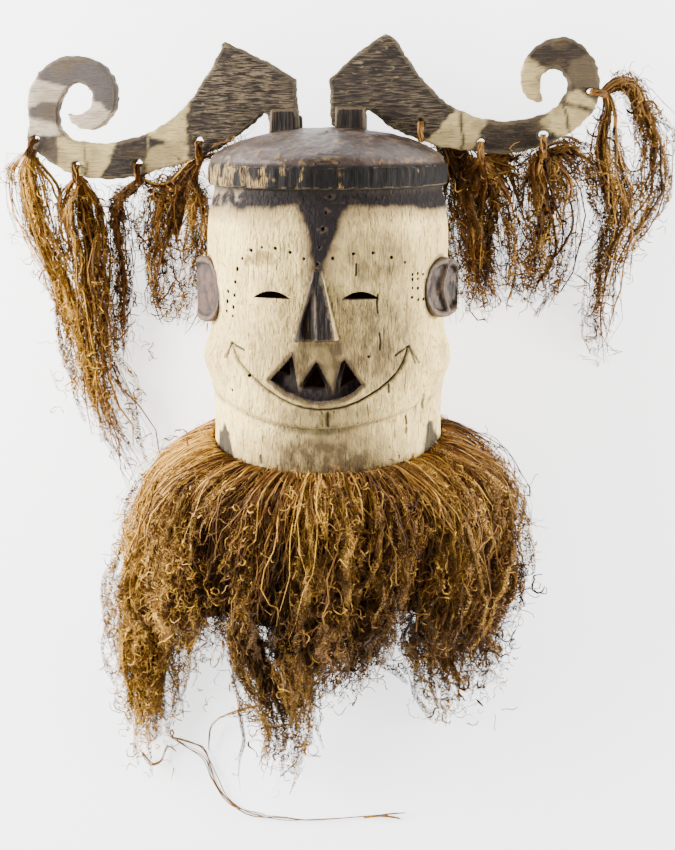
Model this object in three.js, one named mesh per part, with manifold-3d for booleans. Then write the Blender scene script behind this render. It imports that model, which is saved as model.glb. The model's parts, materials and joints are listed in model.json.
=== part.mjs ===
// A helmet mask: a hollow head carved from one block of wood, two flat horn boards with
// curled ends standing on its cap, raffia tufts tied along the boards, and a raffia skirt
// tied round the neck. It lies on its back with its face up.
//
// Millimetres. +Z is up, +Y runs from the neck to the horns, and +X is on the right of
// someone who looks down at the face. Inside the mask group the head's axis is the Y axis,
// Y is 0 at the rim of the neck, and the floor lies at Z = -axisHeight.

import * as THREE from "three";
import { mergeVertices } from "three/addons/utils/BufferGeometryUtils.js";
import { ConvexGeometry } from "three/addons/geometries/ConvexGeometry.js";
import Module from "manifold-3d";

const wasm = await Module();
wasm.setup();

// Driving dimensions of the head
const neckHalfWidth = 117.5;
const neckDepthRatio = 1.02; // front to back over side to side
const headDepthRatio = 1.06;
const chinFront = 54; // height of the ridge under the chin, at the front
const chinRise = 26; // how much higher that ridge runs at the sides
const wall = 13;
const brimHalfWidth = 121;
const brimHalfDepth = 132;
const brimBottom = 284;
const brimTop = 305;
const domeRise = 35;
const restFlat = 1.5; // depth of the worn flat at the back of the brim, on which the head lies
const axisHeight = brimHalfDepth - restFlat;
const headSegments = 48;

// Driving dimensions of the horn boards and their fixing
const boardFront = -8.3;
const boardThickness = 15.4;
const postFront = 8;
const postBack = -8;
const rearCheek = { front: -24, back: -37 };
const gap = 0.4;
const tieHoleRadius = 4;
const tieHalf = 2.2;
const tieThickness = 4;

// Turns a closed three.js geometry into a solid that can be joined and cut.
function solid(geometry) {
  const bare = geometry.clone();
  bare.deleteAttribute("normal");
  bare.deleteAttribute("uv");
  const merged = mergeVertices(bare, 1e-3);
  return new wasm.Manifold(
    new wasm.Mesh({
      numProp: 3,
      vertProperties: merged.attributes.position.array,
      triVerts: new Uint32Array(merged.index.array),
    }),
  );
}

function geometryOf(shape) {
  const mesh = shape.getMesh();
  const geometry = new THREE.BufferGeometry();
  geometry.setAttribute("position", new THREE.BufferAttribute(mesh.vertProperties, 3));
  geometry.setIndex(new THREE.BufferAttribute(mesh.triVerts, 1));
  geometry.computeVertexNormals();
  return geometry;
}

// Skins rings of points, which run counter-clockwise about the way they follow each other,
// and closes both ends with a fan.
function loft(rings) {
  const count = rings[0].length;
  const points = rings.flat();
  const index = [];
  for (let i = 0; i + 1 < rings.length; i++) {
    for (let j = 0; j < count; j++) {
      const next = (j + 1) % count;
      const a = i * count + j;
      const b = i * count + next;
      index.push(a, b, a + count, b, b + count, a + count);
    }
  }
  for (const end of [0, rings.length - 1]) {
    const centre = points.length;
    const middle = new THREE.Vector3();
    rings[end].forEach((point) => middle.addScaledVector(point, 1 / count));
    points.push(middle);
    for (let j = 0; j < count; j++) {
      const a = end * count + j;
      const b = end * count + ((j + 1) % count);
      index.push(...(end ? [centre, a, b] : [centre, b, a]));
    }
  }
  const geometry = new THREE.BufferGeometry().setFromPoints(points);
  geometry.setIndex(index);
  return geometry;
}

function prism(points, zFrom, zTo) {
  const shape = new THREE.Shape(points.map(([x, y]) => new THREE.Vector2(x, y)));
  const geometry = new THREE.ExtrudeGeometry(shape, { depth: zTo - zFrom, bevelEnabled: false });
  return solid(geometry.translate(0, 0, zFrom));
}

function spline(points, divisions) {
  const curve = new THREE.SplineCurve(points.map(([x, y]) => new THREE.Vector2(x, y)));
  return curve.getPoints(divisions).map((point) => [point.x, point.y]);
}

// The head's outer face. Each row: height at the front, how much higher it runs at the
// sides, half width, and depth over width.
const headRows = [
  [0, 0, neckHalfWidth, neckDepthRatio],
  [22, 4, neckHalfWidth + 0.5, neckDepthRatio],
  [chinFront - 2, chinRise, neckHalfWidth, neckDepthRatio],
  [chinFront + 3, chinRise, 118, headDepthRatio],
  [78, 20, 118.5, headDepthRatio],
  [98, 12, 118.5, headDepthRatio],
  [118, 6, 118.5, headDepthRatio],
  [137, 2, 118.5, headDepthRatio],
  [155, 0, 119, headDepthRatio],
  [182, 0, 121, headDepthRatio],
  [212, 0, 122.5, headDepthRatio],
  [234, 0, 123, headDepthRatio],
  [252, 0, 121.5, headDepthRatio],
  [268, 0, 118.5, headDepthRatio],
  [brimBottom - 3, 0, 114.6, headDepthRatio],
  [brimBottom, 0, brimHalfWidth, brimHalfDepth / brimHalfWidth],
  [brimTop - 1, 0, brimHalfWidth, brimHalfDepth / brimHalfWidth],
];
for (const share of [0.985, 0.94, 0.84, 0.68, 0.48, 0.24]) {
  const height = brimTop + domeRise * Math.pow(1 - share * share, 0.6);
  headRows.push([height, 0, brimHalfWidth * share, brimHalfDepth / brimHalfWidth]);
}

// The cheeks swell at the sides only, below the ears.
function cheekSwell(height, angle) {
  const up = Math.exp(-(((height - 110) / 21) ** 2));
  const round = Math.exp(-(((Math.abs(angle) - 1.4) / 0.55) ** 2));
  return 10 * up * round;
}

function headRing([height, rise, half, ratio], inset) {
  const ring = [];
  for (let j = 0; j < headSegments; j++) {
    const angle = ((j / headSegments) * 2 - 1) * Math.PI;
    const y = height + rise * Math.sin(angle) ** 2;
    const scale = (half + cheekSwell(y, angle) - inset) / half;
    const x = half * scale * Math.sin(angle);
    ring.push(new THREE.Vector3(x, y, half * ratio * scale * Math.cos(angle)));
  }
  return ring;
}

// How far the face stands from the axis, at x across and y up.
function faceDepth(x, y) {
  let above = headRows.findIndex((row) => row[0] > y);
  above = Math.max(above, 1);
  const [low, high] = [headRows[above - 1], headRows[above]];
  const share = (y - low[0]) / (high[0] - low[0]);
  const half = low[2] + (high[2] - low[2]) * share;
  const ratio = low[3] + (high[3] - low[3]) * share;
  return half * ratio * Math.sqrt(Math.max(0, 1 - (x / half) ** 2));
}

function cavity() {
  const rows = [
    [-5, neckHalfWidth - wall],
    [60, neckHalfWidth - wall],
    [150, 106],
    [275, 102],
    [300, 94],
    [314, 72],
    [320, 38],
  ];
  const rings = rows.map(([height, half]) => {
    const ring = [];
    for (let j = 0; j < 32; j++) {
      const angle = (j / 32) * 2 * Math.PI;
      const z = half * neckDepthRatio * Math.cos(angle);
      ring.push(new THREE.Vector3(half * Math.sin(angle), height, z));
    }
    return ring;
  });
  return solid(loft(rings));
}

// An ear is a round dished boss with a knob in it, cut straight along its outer edge. Its
// front edge meets the face and its rear edge stands off the head.
function ear(side, height, halfHeight, reach) {
  const profile = [
    [0, -26],
    [17, -26],
    [halfHeight - 1, -9],
    [halfHeight, -2],
    [halfHeight - 2, 0],
    [halfHeight - 5, 0],
    [halfHeight - 9, -5],
    [11, -6],
    [8, -1],
    [0, 0],
  ];
  const turned = new THREE.LatheGeometry(
    profile.map(([r, y]) => new THREE.Vector2(r, y)),
    16,
  );
  const facing = new THREE.Vector3(side * 0.829, 0, 0.559);
  turned.applyQuaternion(new THREE.Quaternion().setFromUnitVectors(new THREE.Vector3(0, 1, 0), facing));
  const boss = solid(turned.translate(side * 121, height, 30));
  const beyond = block(reach, reach + 40, height - 60, height + 60, -60, 60);
  return boss.subtract(side > 0 ? beyond : beyond.mirror([1, 0, 0]));
}

// The nose: a long wedge with a flat front, wider and higher towards its base, with a chip
// out of its left side.
function nose() {
  const base = 141;
  const bridge = 209;
  const proud = 12;
  const low = faceDepth(0, base);
  const high = faceDepth(0, bridge);
  const corners = [
    [-1, bridge, high - 6],
    [8, bridge, high - 6],
    [0, bridge - 2, high + 1.5],
    [7.5, bridge - 3, high + 1.5],
    [-19.5, base, low - 8],
    [24.5, base, low - 8],
    [-15, base, low + proud],
    [19, base, low + proud],
  ];
  const wedge = solid(new ConvexGeometry(corners.map((c) => new THREE.Vector3(...c))));
  const chip = new THREE.SphereGeometry(1, 12, 8);
  chip.scale(8.5, 27, 9).translate(-6, 158, low + proud);
  return wedge.subtract(solid(chip));
}

function eyeSlit(left, right, height, peak) {
  const arch = new THREE.QuadraticBezierCurve(
    new THREE.Vector2(left, height),
    new THREE.Vector2((left + right) / 2, 2 * peak - height),
    new THREE.Vector2(right, height),
  );
  const outline = arch.getPoints(6).map((point) => [point.x, point.y]);
  return prism(outline.reverse(), 70, 140);
}

// The mouth: a recess that leaves two pointed teeth standing at the level of the face, with
// three openings through the wall between and beside them.
function mouthRecess() {
  const lower = spline(
    [
      [-44, 100],
      [-28, 89],
      [-1, 80.5],
      [30, 85.5],
      [45, 96.6],
    ],
    10,
  );
  const outline = [...lower, [29, 121.5], [25, 120.4], [3.2, 118.6], [-21.3, 125.5]];
  const teeth = [
    [[-21.3, 135], [1.3, 135], [1.3, 119.5], [-16.4, 93.6], [-21.3, 125.7]],
    [[3.2, 135], [25.2, 135], [25.2, 118.5], [17.3, 91], [3.2, 118.6]],
  ];
  const recessDepth = 7;
  let cut = prism(outline, 60, 150);
  for (const tooth of teeth) {
    cut = cut.subtract(prism(tooth.reverse(), 50, 160));
  }
  const floor = solid(loft(headRows.map((row) => headRing(row, recessDepth))));
  return cut.subtract(floor);
}

function mouthOpenings() {
  const openings = [
    [[-39.3, 101.9], [-23.7, 100.1], [-25.9, 117.8]],
    [[-14.6, 89.1], [12.1, 88.8], [1.5, 114.2]],
    [[21.7, 87.3], [43.4, 96.6], [27.5, 116.3]],
  ];
  return openings.map((corners) => prism(corners, 70, 150));
}

// A groove of round section pressed into the face along points across and up.
function groove(points, steps) {
  const radius = 2.2;
  const path = new THREE.CatmullRomCurve3(
    points.map(([x, y]) => new THREE.Vector3(x, y, faceDepth(x, y) + 0.3)),
  );
  const section = new THREE.Shape();
  for (let i = 0; i < 6; i++) {
    const angle = (i / 6) * 2 * Math.PI;
    const [x, y] = [radius * Math.cos(angle), radius * Math.sin(angle)];
    if (i) section.lineTo(x, y);
    else section.moveTo(x, y);
  }
  return solid(new THREE.ExtrudeGeometry(section, { steps, extrudePath: path }));
}

function block(x0, x1, y0, y1, z0, z1) {
  const box = new THREE.BoxGeometry(x1 - x0, y1 - y0, z1 - z0);
  return solid(box.translate((x0 + x1) / 2, (y0 + y1) / 2, (z0 + z1) / 2));
}

// Each horn board stands in a slot between two cheeks left standing on the cap. The front
// cheek is the one that shows. Left and right edges at the foot, then at the top.
const cheeks = [
  { foot: [-60, -28], top: [-57.8, -30.3], height: 358.5 },
  { foot: [7, 39.4], top: [8, 38.3], height: 360.5 },
];

function cheekBlocks({ foot, top, height }) {
  const base = 322;
  const front = prism(
    [
      [foot[0], base],
      [foot[1], base],
      [top[1], height],
      [top[0], height],
    ],
    postBack,
    postFront,
  );
  const rear = block(foot[0] + 2, foot[1] - 2, base, height - 6, rearCheek.back, rearCheek.front);
  return front.add(rear);
}

function helmet() {
  let head = solid(loft(headRows.map((row) => headRing(row, 0))));
  head = head.add(ear(-1, 180, 33, 137)).add(ear(1, 184, 30, 134)).add(nose());
  for (const cheek of cheeks) {
    head = head.add(cheekBlocks(cheek));
  }
  head = head.subtract(cavity()).subtract(mouthRecess());
  for (const opening of mouthOpenings()) {
    head = head.subtract(opening);
  }
  head = head.subtract(eyeSlit(-60.7, -22.6, 180, 187)).subtract(eyeSlit(25.4, 61.1, 179.5, 187.4));
  const smile = [[-86, 128], [-66, 104], [-34, 82.7], [3, 73], [41, 80], [70, 98], [86, 126]];
  const barbs = [
    [[-93, 116], [-88, 126], [-85.8, 133]],
    [[-85.8, 133], [-80, 130], [-72, 126.5]],
    [[76, 122.5], [82, 127], [87.9, 131]],
    [[87.9, 131], [91, 123], [95, 113]],
  ];
  head = head.subtract(groove(smile, 16));
  for (const barb of barbs) {
    head = head.subtract(groove(barb, 2));
  }
  const floor = block(-60, 60, brimBottom - 20, brimTop + 20, -axisHeight - 20, -axisHeight);
  return geometryOf(head.subtract(floor));
}

// The outline of a horn board, from the foot up its inner edge, over the peak, down the
// hollow upper edge, round the inside and then the outside of the curl, and back along the
// lower edge.
const leftBoard = [
  [[-60, 335.6], [-31, 339.5], [-31.8, 358.6], [-34.2, 388.5], [-57, 402.5]],
  spline(
    [
      [-106.8, 426.4], [-123.8, 394.7], [-154.7, 355.6], [-197.2, 331.2], [-239.6, 324],
      [-271.3, 329.5], [-281.3, 344], [-280.8, 359.6], [-269.5, 380.9], [-256.8, 383.9],
      [-246.5, 376.8], [-246.3, 364.7], [-253.5, 354.5], [-266.2, 353],
    ],
    34,
  ),
  [[-272.5, 354.5]],
  spline(
    [
      [-268.6, 346.4], [-254, 337.2], [-234.9, 341.3], [-221.8, 357.6], [-219.1, 377.8],
      [-226.9, 396.9], [-242.4, 408], [-266.4, 412.1], [-287.6, 406.1], [-304.1, 391.1],
      [-313, 370.8], [-313.6, 340],
    ],
    26,
  ),
  spline(
    [
      [-316.1, 327.9], [-311, 319.7], [-283, 298.2], [-251.3, 288], [-214.1, 287.6],
      [-176.9, 296.5], [-134.6, 309.9], [-97.8, 328.3], [-64.3, 357.6],
    ],
    18,
  ),
].flat();

const rightBoard = [
  [[-0.4, 388.4], [1.1, 358.6], [1.6, 340.9], [36.4, 339], [36.6, 359]],
  spline(
    [
      [39, 357.5], [56.8, 344.6], [72.2, 335.2], [88, 328.9], [113, 321.6], [143.5, 316.7],
      [173.9, 313.3], [204, 317.8], [228.9, 325.8], [256.3, 344.7], [270.5, 367.3],
      [269.6, 397.7], [257.1, 417.1], [238.1, 428.4], [212.5, 423.1], [197.9, 408.6],
      [192.4, 387.1], [199.8, 369.4], [214.9, 364.4],
    ],
    44,
  ),
  spline(
    [
      [215.9, 366.4], [212.5, 382.1], [218.1, 395.8], [232, 395.3], [240.3, 382.1],
      [232.8, 366.4], [218.2, 354.1], [178.3, 346.6], [148, 351.6], [120.6, 363.5],
      [92, 391.2], [66.4, 428.6],
    ],
    30,
  ),
  [[57.3, 433.1], [26, 412.1]],
].flat();

// Where a tuft is tied: the hole, the way from it to the board's edge, and how far that is.
const ties = {
  tuft_left_1: { hole: [-305.9, 328], towards: [-0.5, -0.866], edge: 13.5 },
  tuft_left_2: { hole: [-263.7, 301.5], towards: [0, -1], edge: 12.5 },
  tuft_left_3: { hole: [-198.9, 302.6], towards: [0, -1], edge: 13.5 },
  tuft_left_4: { hole: [-134.3, 326.2], towards: [0, -1], edge: 17 },
  tuft_right_1: { hole: [93.5, 345.6], towards: [0, -1], edge: 0 },
  tuft_right_2: { hole: [154.5, 326], towards: [0, -1], edge: 11.5 },
  tuft_right_3: { hole: [216.8, 333], towards: [0, -1], edge: 12.5 },
  tuft_right_4: { hole: [262.3, 375.2], towards: [0.99, -0.14], edge: 11 },
};

function hornBoard(outline, side) {
  const shape = new THREE.Shape(outline.map(([x, y]) => new THREE.Vector2(x, y)));
  for (const [name, tie] of Object.entries(ties)) {
    if (!name.includes(side)) continue;
    const hole = new THREE.Path();
    for (let i = 0; i < 8; i++) {
      const angle = (i / 8) * 2 * Math.PI;
      const x = tie.hole[0] + tieHoleRadius * Math.cos(angle);
      const y = tie.hole[1] + tieHoleRadius * Math.sin(angle);
      if (i) hole.lineTo(x, y);
      else hole.moveTo(x, y);
    }
    shape.holes.push(hole);
  }
  const board = new THREE.ExtrudeGeometry(shape, { depth: boardThickness, bevelEnabled: false });
  return board.translate(0, 0, boardFront - boardThickness);
}

// The cord that ties a tuft on: through the hole and round the edge of the board.
function tieLoop({ hole, towards, edge }) {
  const front = boardFront + gap;
  const back = boardFront - boardThickness - gap;
  const band = new THREE.Shape();
  band.moveTo(-tieHalf, back - tieThickness);
  band.lineTo(edge + gap + tieThickness, back - tieThickness);
  band.lineTo(edge + gap + tieThickness, front + tieThickness);
  band.lineTo(-tieHalf, front + tieThickness);
  const inside = new THREE.Path();
  inside.moveTo(tieHalf, back);
  inside.lineTo(edge + gap, back);
  inside.lineTo(edge + gap, front);
  inside.lineTo(tieHalf, front);
  band.holes.push(inside);
  const loop = new THREE.ExtrudeGeometry(band, { depth: 2 * tieHalf, bevelEnabled: false });
  loop.translate(0, 0, -tieHalf);
  const along = new THREE.Vector3(...towards, 0);
  const up = new THREE.Vector3(0, 0, 1);
  const across = new THREE.Vector3().crossVectors(along, up);
  loop.applyMatrix4(new THREE.Matrix4().makeBasis(along, up, across));
  return solid(loop.translate(...hole, 0));
}

// A bundle of strands along stations of x, y, height above the floor, half width and half
// thickness. Its section is fluted, as a bundle of locks is.
function bundle(stations, flutes = 5) {
  const centres = stations.map(([x, y, z]) => new THREE.Vector3(x, y, z - axisHeight));
  const rings = stations.map(([, , , halfWidth, halfThickness], i) => {
    const before = centres[Math.max(i - 1, 0)];
    const after = centres[Math.min(i + 1, centres.length - 1)];
    const way = new THREE.Vector3().subVectors(after, before).normalize();
    const across = new THREE.Vector3(-way.y, way.x, 0).normalize();
    const through = new THREE.Vector3().crossVectors(way, across);
    const ring = [];
    for (let j = 0; j < flutes * 2; j++) {
      const angle = (j / flutes) * Math.PI;
      const flute = j % 2 ? 0.84 : 1;
      const point = centres[i].clone();
      point.addScaledVector(across, halfWidth * flute * Math.cos(angle));
      point.addScaledVector(through, halfThickness * flute * Math.sin(angle));
      point.z = Math.max(point.z, -axisHeight + 0.2);
      ring.push(point);
    }
    return ring;
  });
  return solid(loft(rings));
}

// Each tuft drops from its tie to the floor and lies along it.
const tufts = {
  tuft_left_1: [
    [
      [-315, 312, 110, 6, 5], [-317, 302, 105, 11, 8], [-322, 282, 93, 19, 12],
      [-328, 224, 58, 23, 16], [-330, 162, 29, 19, 16], [-325, 104, 18, 9, 12], [-316, 55, 9, 4, 6],
    ],
  ],
  tuft_left_2: [
    [
      [-264, 286, 110, 6, 5], [-266, 274, 102, 13, 9], [-267, 256, 91, 19, 12],
      [-274, 208, 56, 21, 16], [-279, 150, 28, 19, 17], [-286, 95, 19, 20, 15],
      [-279, 36, 15, 18, 12], [-270, -6, 11, 11, 8], [-268, -50, 6, 4, 4],
    ],
  ],
  tuft_left_3: [
    [
      [-200, 284, 110, 5, 5], [-212, 272, 101, 7, 6], [-230, 254, 82, 8, 8],
      [-242, 212, 50, 7, 9], [-248, 163, 22, 7, 10], [-255, 112, 9, 4, 6],
    ],
  ],
  tuft_left_4: [
    [
      [-136, 305, 112, 4, 5], [-148, 288, 101, 13, 9], [-163, 262, 87, 26, 12],
      [-184, 212, 52, 32, 18], [-194, 168, 27, 26, 18], [-204, 138, 18, 16, 13], [-222, 100, 7, 4, 5],
    ],
  ],
  tuft_right_1: [
    [
      [93.5, 346, 101, 5, 5], [113, 334, 97, 7, 6], [133, 300, 84, 9, 9], [135, 262, 66, 12, 12],
      [137, 208, 38, 14, 15], [144, 165, 18, 12, 12], [146, 145, 8, 5, 6],
    ],
  ],
  tuft_right_2: [
    [
      [155, 309, 110, 6, 5], [160, 296, 101, 10, 8], [170, 264, 82, 17, 12],
      [176, 208, 45, 19, 16], [178, 168, 24, 16, 15], [176, 150, 12, 7, 8],
    ],
  ],
  tuft_right_3: [
    [
      [217, 315, 110, 6, 5], [218, 298, 101, 19, 9], [224, 262, 82, 29, 12],
      [228, 208, 45, 25, 16], [216, 178, 24, 16, 14], [208, 160, 11, 7, 8],
    ],
  ],
  tuft_right_4: [
    [
      [275.5, 374, 116, 5, 6], [297, 376, 107, 8, 6], [313, 350, 96, 10, 8], [322, 316, 84, 14, 11],
      [318, 268, 58, 18, 13], [309, 220, 32, 13, 13], [300, 190, 14, 6, 8],
    ],
    [
      [278, 374, 112, 4, 5], [281, 352, 104, 7, 7], [277, 318, 92, 10, 8], [285, 284, 74, 13, 11],
      [282, 240, 50, 13, 13], [278, 200, 30, 10, 12], [280, 150, 16, 8, 9], [284, 104, 6, 4, 4],
    ],
  ],
};

// The first tuft on the right is knotted in front of its hole and hangs behind the board.
function throughTie({ hole }) {
  const front = boardFront + gap;
  const back = boardFront - boardThickness - gap;
  const [x, y] = hole;
  const neck = block(x - tieHalf, x + tieHalf, y - tieHalf, y + tieHalf, back - 4, front + 4);
  const knot = new THREE.IcosahedronGeometry(6, 0).scale(1, 1.3, 0.6);
  return neck.add(solid(knot.translate(x, y - 1, front + 3.7)));
}

function tuft(name) {
  const tie = ties[name];
  let whole = tie.edge ? tieLoop(tie) : throughTie(tie);
  for (const stations of tufts[name]) {
    whole = whole.add(bundle(stations));
  }
  return geometryOf(whole);
}

// The skirt round the neck, in stations along Y: left and right edge, height of the top and
// height of the widest part above the floor, and how much nearer the rim the front is tied.
const skirtRows = [
  [24, -134, 134, 264, 130, 17],
  [12, -158, 156, 284, 122, 13],
  [-10, -190, 187, 294, 112, 8],
  [-44, -212, 207, 290, 96, 0],
  [-84, -229, 206, 264, 78, 0],
  [-126, -245, 211, 230, 62, 0],
  [-170, -252, 201, 194, 50, 0],
  [-212, -252, 184, 162, 40, 0],
  [-246, -200, 166, 134, 34, 0],
  [-264, -150, 120, 112, 30, 0],
];
const skirtSegments = 52;
const skirtFlutes = 13;

function skirtRing([y, left, right, top, widest, frontDrop], row) {
  const ring = [];
  const middle = (left + right) / 2;
  for (let j = 0; j < skirtSegments; j++) {
    const angle = (j / skirtSegments) * 2 * Math.PI;
    const cos = Math.cos(angle);
    const sin = Math.sin(angle);
    const flute = 1 + 0.022 * Math.sin(skirtFlutes * angle + 0.5 * row);
    const x = middle + ((right - left) / 2) * cos * (sin > 0 ? flute : 1);
    const flat = widest * (1 - Math.min(1, 1.25 * Math.abs(sin) ** 0.6));
    const height = sin > 0 ? widest + (top - widest) * sin * flute : flat;
    ring.push(new THREE.Vector3(x, y - frontDrop * Math.max(0, sin), height - axisHeight));
  }
  return ring.reverse();
}

// The way in for the head, from the neck to the far end of the skirt: y, half width, and
// the heights of its top and bottom above the floor.
const neckClearance = 1.6;
const neckTop = axisHeight + neckHalfWidth * neckDepthRatio + neckClearance;
const tunnelRows = [
  [32, neckHalfWidth + 0.5 + neckClearance, neckTop, 2 * axisHeight - neckTop],
  [-6, neckHalfWidth + 0.5 + neckClearance, neckTop, 2 * axisHeight - neckTop],
  [-40, 113, 236, 11],
  [-84, 108, 202, 12],
  [-140, 100, 158, 12],
  [-200, 94, 120, 12],
  [-275, 88, 88, 12],
];
const tunnelSegments = 32;

function tunnel() {
  const rings = tunnelRows.map(([y, half, top, bottom]) => {
    const ring = [];
    for (let j = 0; j < tunnelSegments; j++) {
      const angle = (j / tunnelSegments) * 2 * Math.PI;
      const height = (top + bottom) / 2 + ((top - bottom) / 2) * Math.sin(angle);
      ring.push(new THREE.Vector3(half * Math.cos(angle), y, height - axisHeight));
    }
    return ring.reverse();
  });
  return solid(loft(rings.reverse()));
}

// The three long locks in which the skirt ends.
const locks = [
  [
    [-204, -180, 46, 44, 38], [-210, -250, 26, 41, 24], [-214, -310, 19, 33, 17],
    [-218, -360, 14, 21, 12], [-222, -403, 6, 5, 5],
  ],
  [
    [-38, -215, 122, 90, 26], [-43, -268, 90, 78, 20], [-49, -310, 58, 48, 16],
    [-55, -352, 32, 30, 14], [-72, -396, 14, 11, 9], [-77, -440, 6, 6, 5],
  ],
  [
    [122, -180, 60, 62, 42], [128, -245, 36, 54, 28], [130, -290, 19, 46, 15],
    [132, -314, 8, 26, 7],
  ],
];

function collar() {
  let skirt = solid(loft(skirtRows.map(skirtRing).reverse()));
  for (const lock of locks) {
    skirt = skirt.add(bundle(lock, 7));
  }
  return geometryOf(skirt.subtract(tunnel()));
}

const paintedWood = new THREE.MeshStandardMaterial({ color: 0xe0d2ae, roughness: 0.8, metalness: 0 });
const weatheredWood = new THREE.MeshStandardMaterial({ color: 0x6b5c4c, roughness: 0.9, metalness: 0 });
const darkRaffia = new THREE.MeshStandardMaterial({ color: 0x96602f, roughness: 0.85, metalness: 0 });
const goldenRaffia = new THREE.MeshStandardMaterial({ color: 0xa87532, roughness: 0.8, metalness: 0 });

const mask = new THREE.Group();

function addPiece(name, geometry, material) {
  const piece = new THREE.Mesh(geometry, material.clone());
  piece.name = name;
  mask.add(piece);
}

addPiece("helmet", helmet(), paintedWood);
addPiece("horn_left", hornBoard(leftBoard, "left"), weatheredWood);
addPiece("horn_right", hornBoard(rightBoard, "right"), weatheredWood);
for (const name of Object.keys(ties)) {
  addPiece(name, tuft(name), darkRaffia);
}
addPiece("collar", collar(), goldenRaffia);

// The origin is on the floor under the middle of the whole.
const part = new THREE.Group();
part.add(mask);
const box = new THREE.Box3().setFromObject(mask);
const centre = box.getCenter(new THREE.Vector3());
mask.position.set(-centre.x, -centre.y, axisHeight);

export default part;
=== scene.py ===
import itertools
import json
import math

import bpy
import numpy as np
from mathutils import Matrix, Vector


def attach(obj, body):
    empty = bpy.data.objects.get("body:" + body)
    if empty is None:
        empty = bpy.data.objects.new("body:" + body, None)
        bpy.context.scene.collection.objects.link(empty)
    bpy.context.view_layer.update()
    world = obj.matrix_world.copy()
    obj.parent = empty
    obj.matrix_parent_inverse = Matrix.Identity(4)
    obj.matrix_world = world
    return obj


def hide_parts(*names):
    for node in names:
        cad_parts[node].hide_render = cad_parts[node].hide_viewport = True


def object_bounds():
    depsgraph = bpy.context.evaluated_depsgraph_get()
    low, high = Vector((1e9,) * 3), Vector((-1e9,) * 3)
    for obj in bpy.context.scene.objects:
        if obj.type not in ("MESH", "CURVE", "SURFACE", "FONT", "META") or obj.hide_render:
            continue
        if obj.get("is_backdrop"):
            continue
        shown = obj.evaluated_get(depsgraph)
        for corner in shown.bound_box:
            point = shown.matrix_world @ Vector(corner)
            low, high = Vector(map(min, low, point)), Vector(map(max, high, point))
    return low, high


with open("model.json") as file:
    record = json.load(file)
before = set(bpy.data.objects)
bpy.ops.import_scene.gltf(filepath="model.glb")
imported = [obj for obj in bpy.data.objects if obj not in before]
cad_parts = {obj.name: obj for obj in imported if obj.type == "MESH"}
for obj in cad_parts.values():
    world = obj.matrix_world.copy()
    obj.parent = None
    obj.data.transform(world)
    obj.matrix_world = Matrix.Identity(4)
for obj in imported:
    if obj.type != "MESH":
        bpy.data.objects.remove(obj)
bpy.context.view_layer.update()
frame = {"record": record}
bpy.ops.object.select_all(action="DESELECT")

# The mask lies on its back with its face up. All shapes are given in the mask's own frame, in
# millimetres: x to the viewer's right, y up the face from the neck rim, z out of the face from
# the axis of the head. The record's two mounts say where that frame is.
mounts = {mount["name"]: mount["pos_m"] for mount in frame["record"]["mounts"]}
origin = Vector((mounts["back_rest"][0], mounts["neck_rim"][1], mounts["neck_rim"][2]))
floor_level = -origin.z * 1000

# Camera, floor and light: the camera stands over the forehead and looks a little down to the
# chin, as the photo does. The light is a white tent with a strong side at the left and a weaker
# one at the right, so that the sides of the head are brighter than its front.
bpy.ops.object.camera_add(location=origin + Vector((0.17007, 0.3554, 1.61809)))
camera = bpy.context.object
camera.rotation_euler = (math.radians(-11.2), math.radians(5.656), 0)
camera.data.lens = 66.92
bpy.context.scene.camera = camera

bpy.ops.mesh.primitive_plane_add(size=14)
floor = bpy.context.object
floor.name = "floor"
floor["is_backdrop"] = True
white = bpy.data.materials.new("white_floor")
white.use_nodes = True
shader = white.node_tree.nodes["Principled BSDF"]
shader.inputs["Base Color"].default_value = (0.9, 0.9, 0.9, 1)
shader.inputs["Roughness"].default_value = 0.9
shader.inputs["Emission Color"].default_value = (1, 1, 1, 1)
shader.inputs["Emission Strength"].default_value = 1.9
floor.data.materials.append(white)

world = bpy.data.worlds.new("tent")
bpy.context.scene.world = world
world.use_nodes = True
world.node_tree.nodes["Background"].inputs["Color"].default_value = (1, 1, 1, 1)
world.node_tree.nodes["Background"].inputs["Strength"].default_value = 0.27

left_lamp, right_lamp, top_lamp = (-1.7, 0.5, 0.5), (1.75, 0.05, 0.32), (0.1, 0.3, 2.3)
for place, size, power in (left_lamp, 1.5, 330), (right_lamp, 1.2, 190), (top_lamp, 1.4, 7):
    bpy.ops.object.light_add(type="AREA", location=place)
    lamp = bpy.context.object
    lamp.data.size = size
    lamp.data.energy = power
    lamp.rotation_euler = (-Vector(place)).to_track_quat("-Z", "Y").to_euler()
bpy.ops.object.select_all(action="DESELECT")


# Helmet: rows of rings drawn out of one circle, from the top of the hollow inside, round the
# neck rim and up the outside to the top of the cap. The carving is then pressed into the
# surface, and the nose, ears, cheeks of the cap and the openings are joined to it or cut.
def noise(points, scale, seed):
    """Smooth noise between -1 and 1 at each point. The scale is one number, or x, y and z."""
    place = points * np.array(scale) + seed * 13.7
    cell = np.floor(place).astype(np.int64)
    part = place - cell
    part = part * part * (3 - 2 * part)
    total = np.zeros(len(points))
    for corner in itertools.product((0, 1), repeat=3):
        at = (cell + corner).astype(np.uint32)
        mixed = at[:, 0] * 374761393 + at[:, 1] * 668265263 + at[:, 2] * 2246822519
        mixed = (mixed ^ (mixed >> 13)) * 1274126177
        mixed = mixed ^ (mixed >> 16)
        weight = np.prod(np.where(corner, part, 1 - part), axis=1)
        total += weight * (mixed / 2147483648 - 1)
    return total


def smoothstep(low, high, value):
    share = np.clip((value - low) / (high - low), 0, 1)
    return share * share * (3 - 2 * share)


def hill(distance, width):
    """1 where the distance is 0, falling smoothly away over this width."""
    return np.exp(-((distance / width) ** 2))


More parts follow.
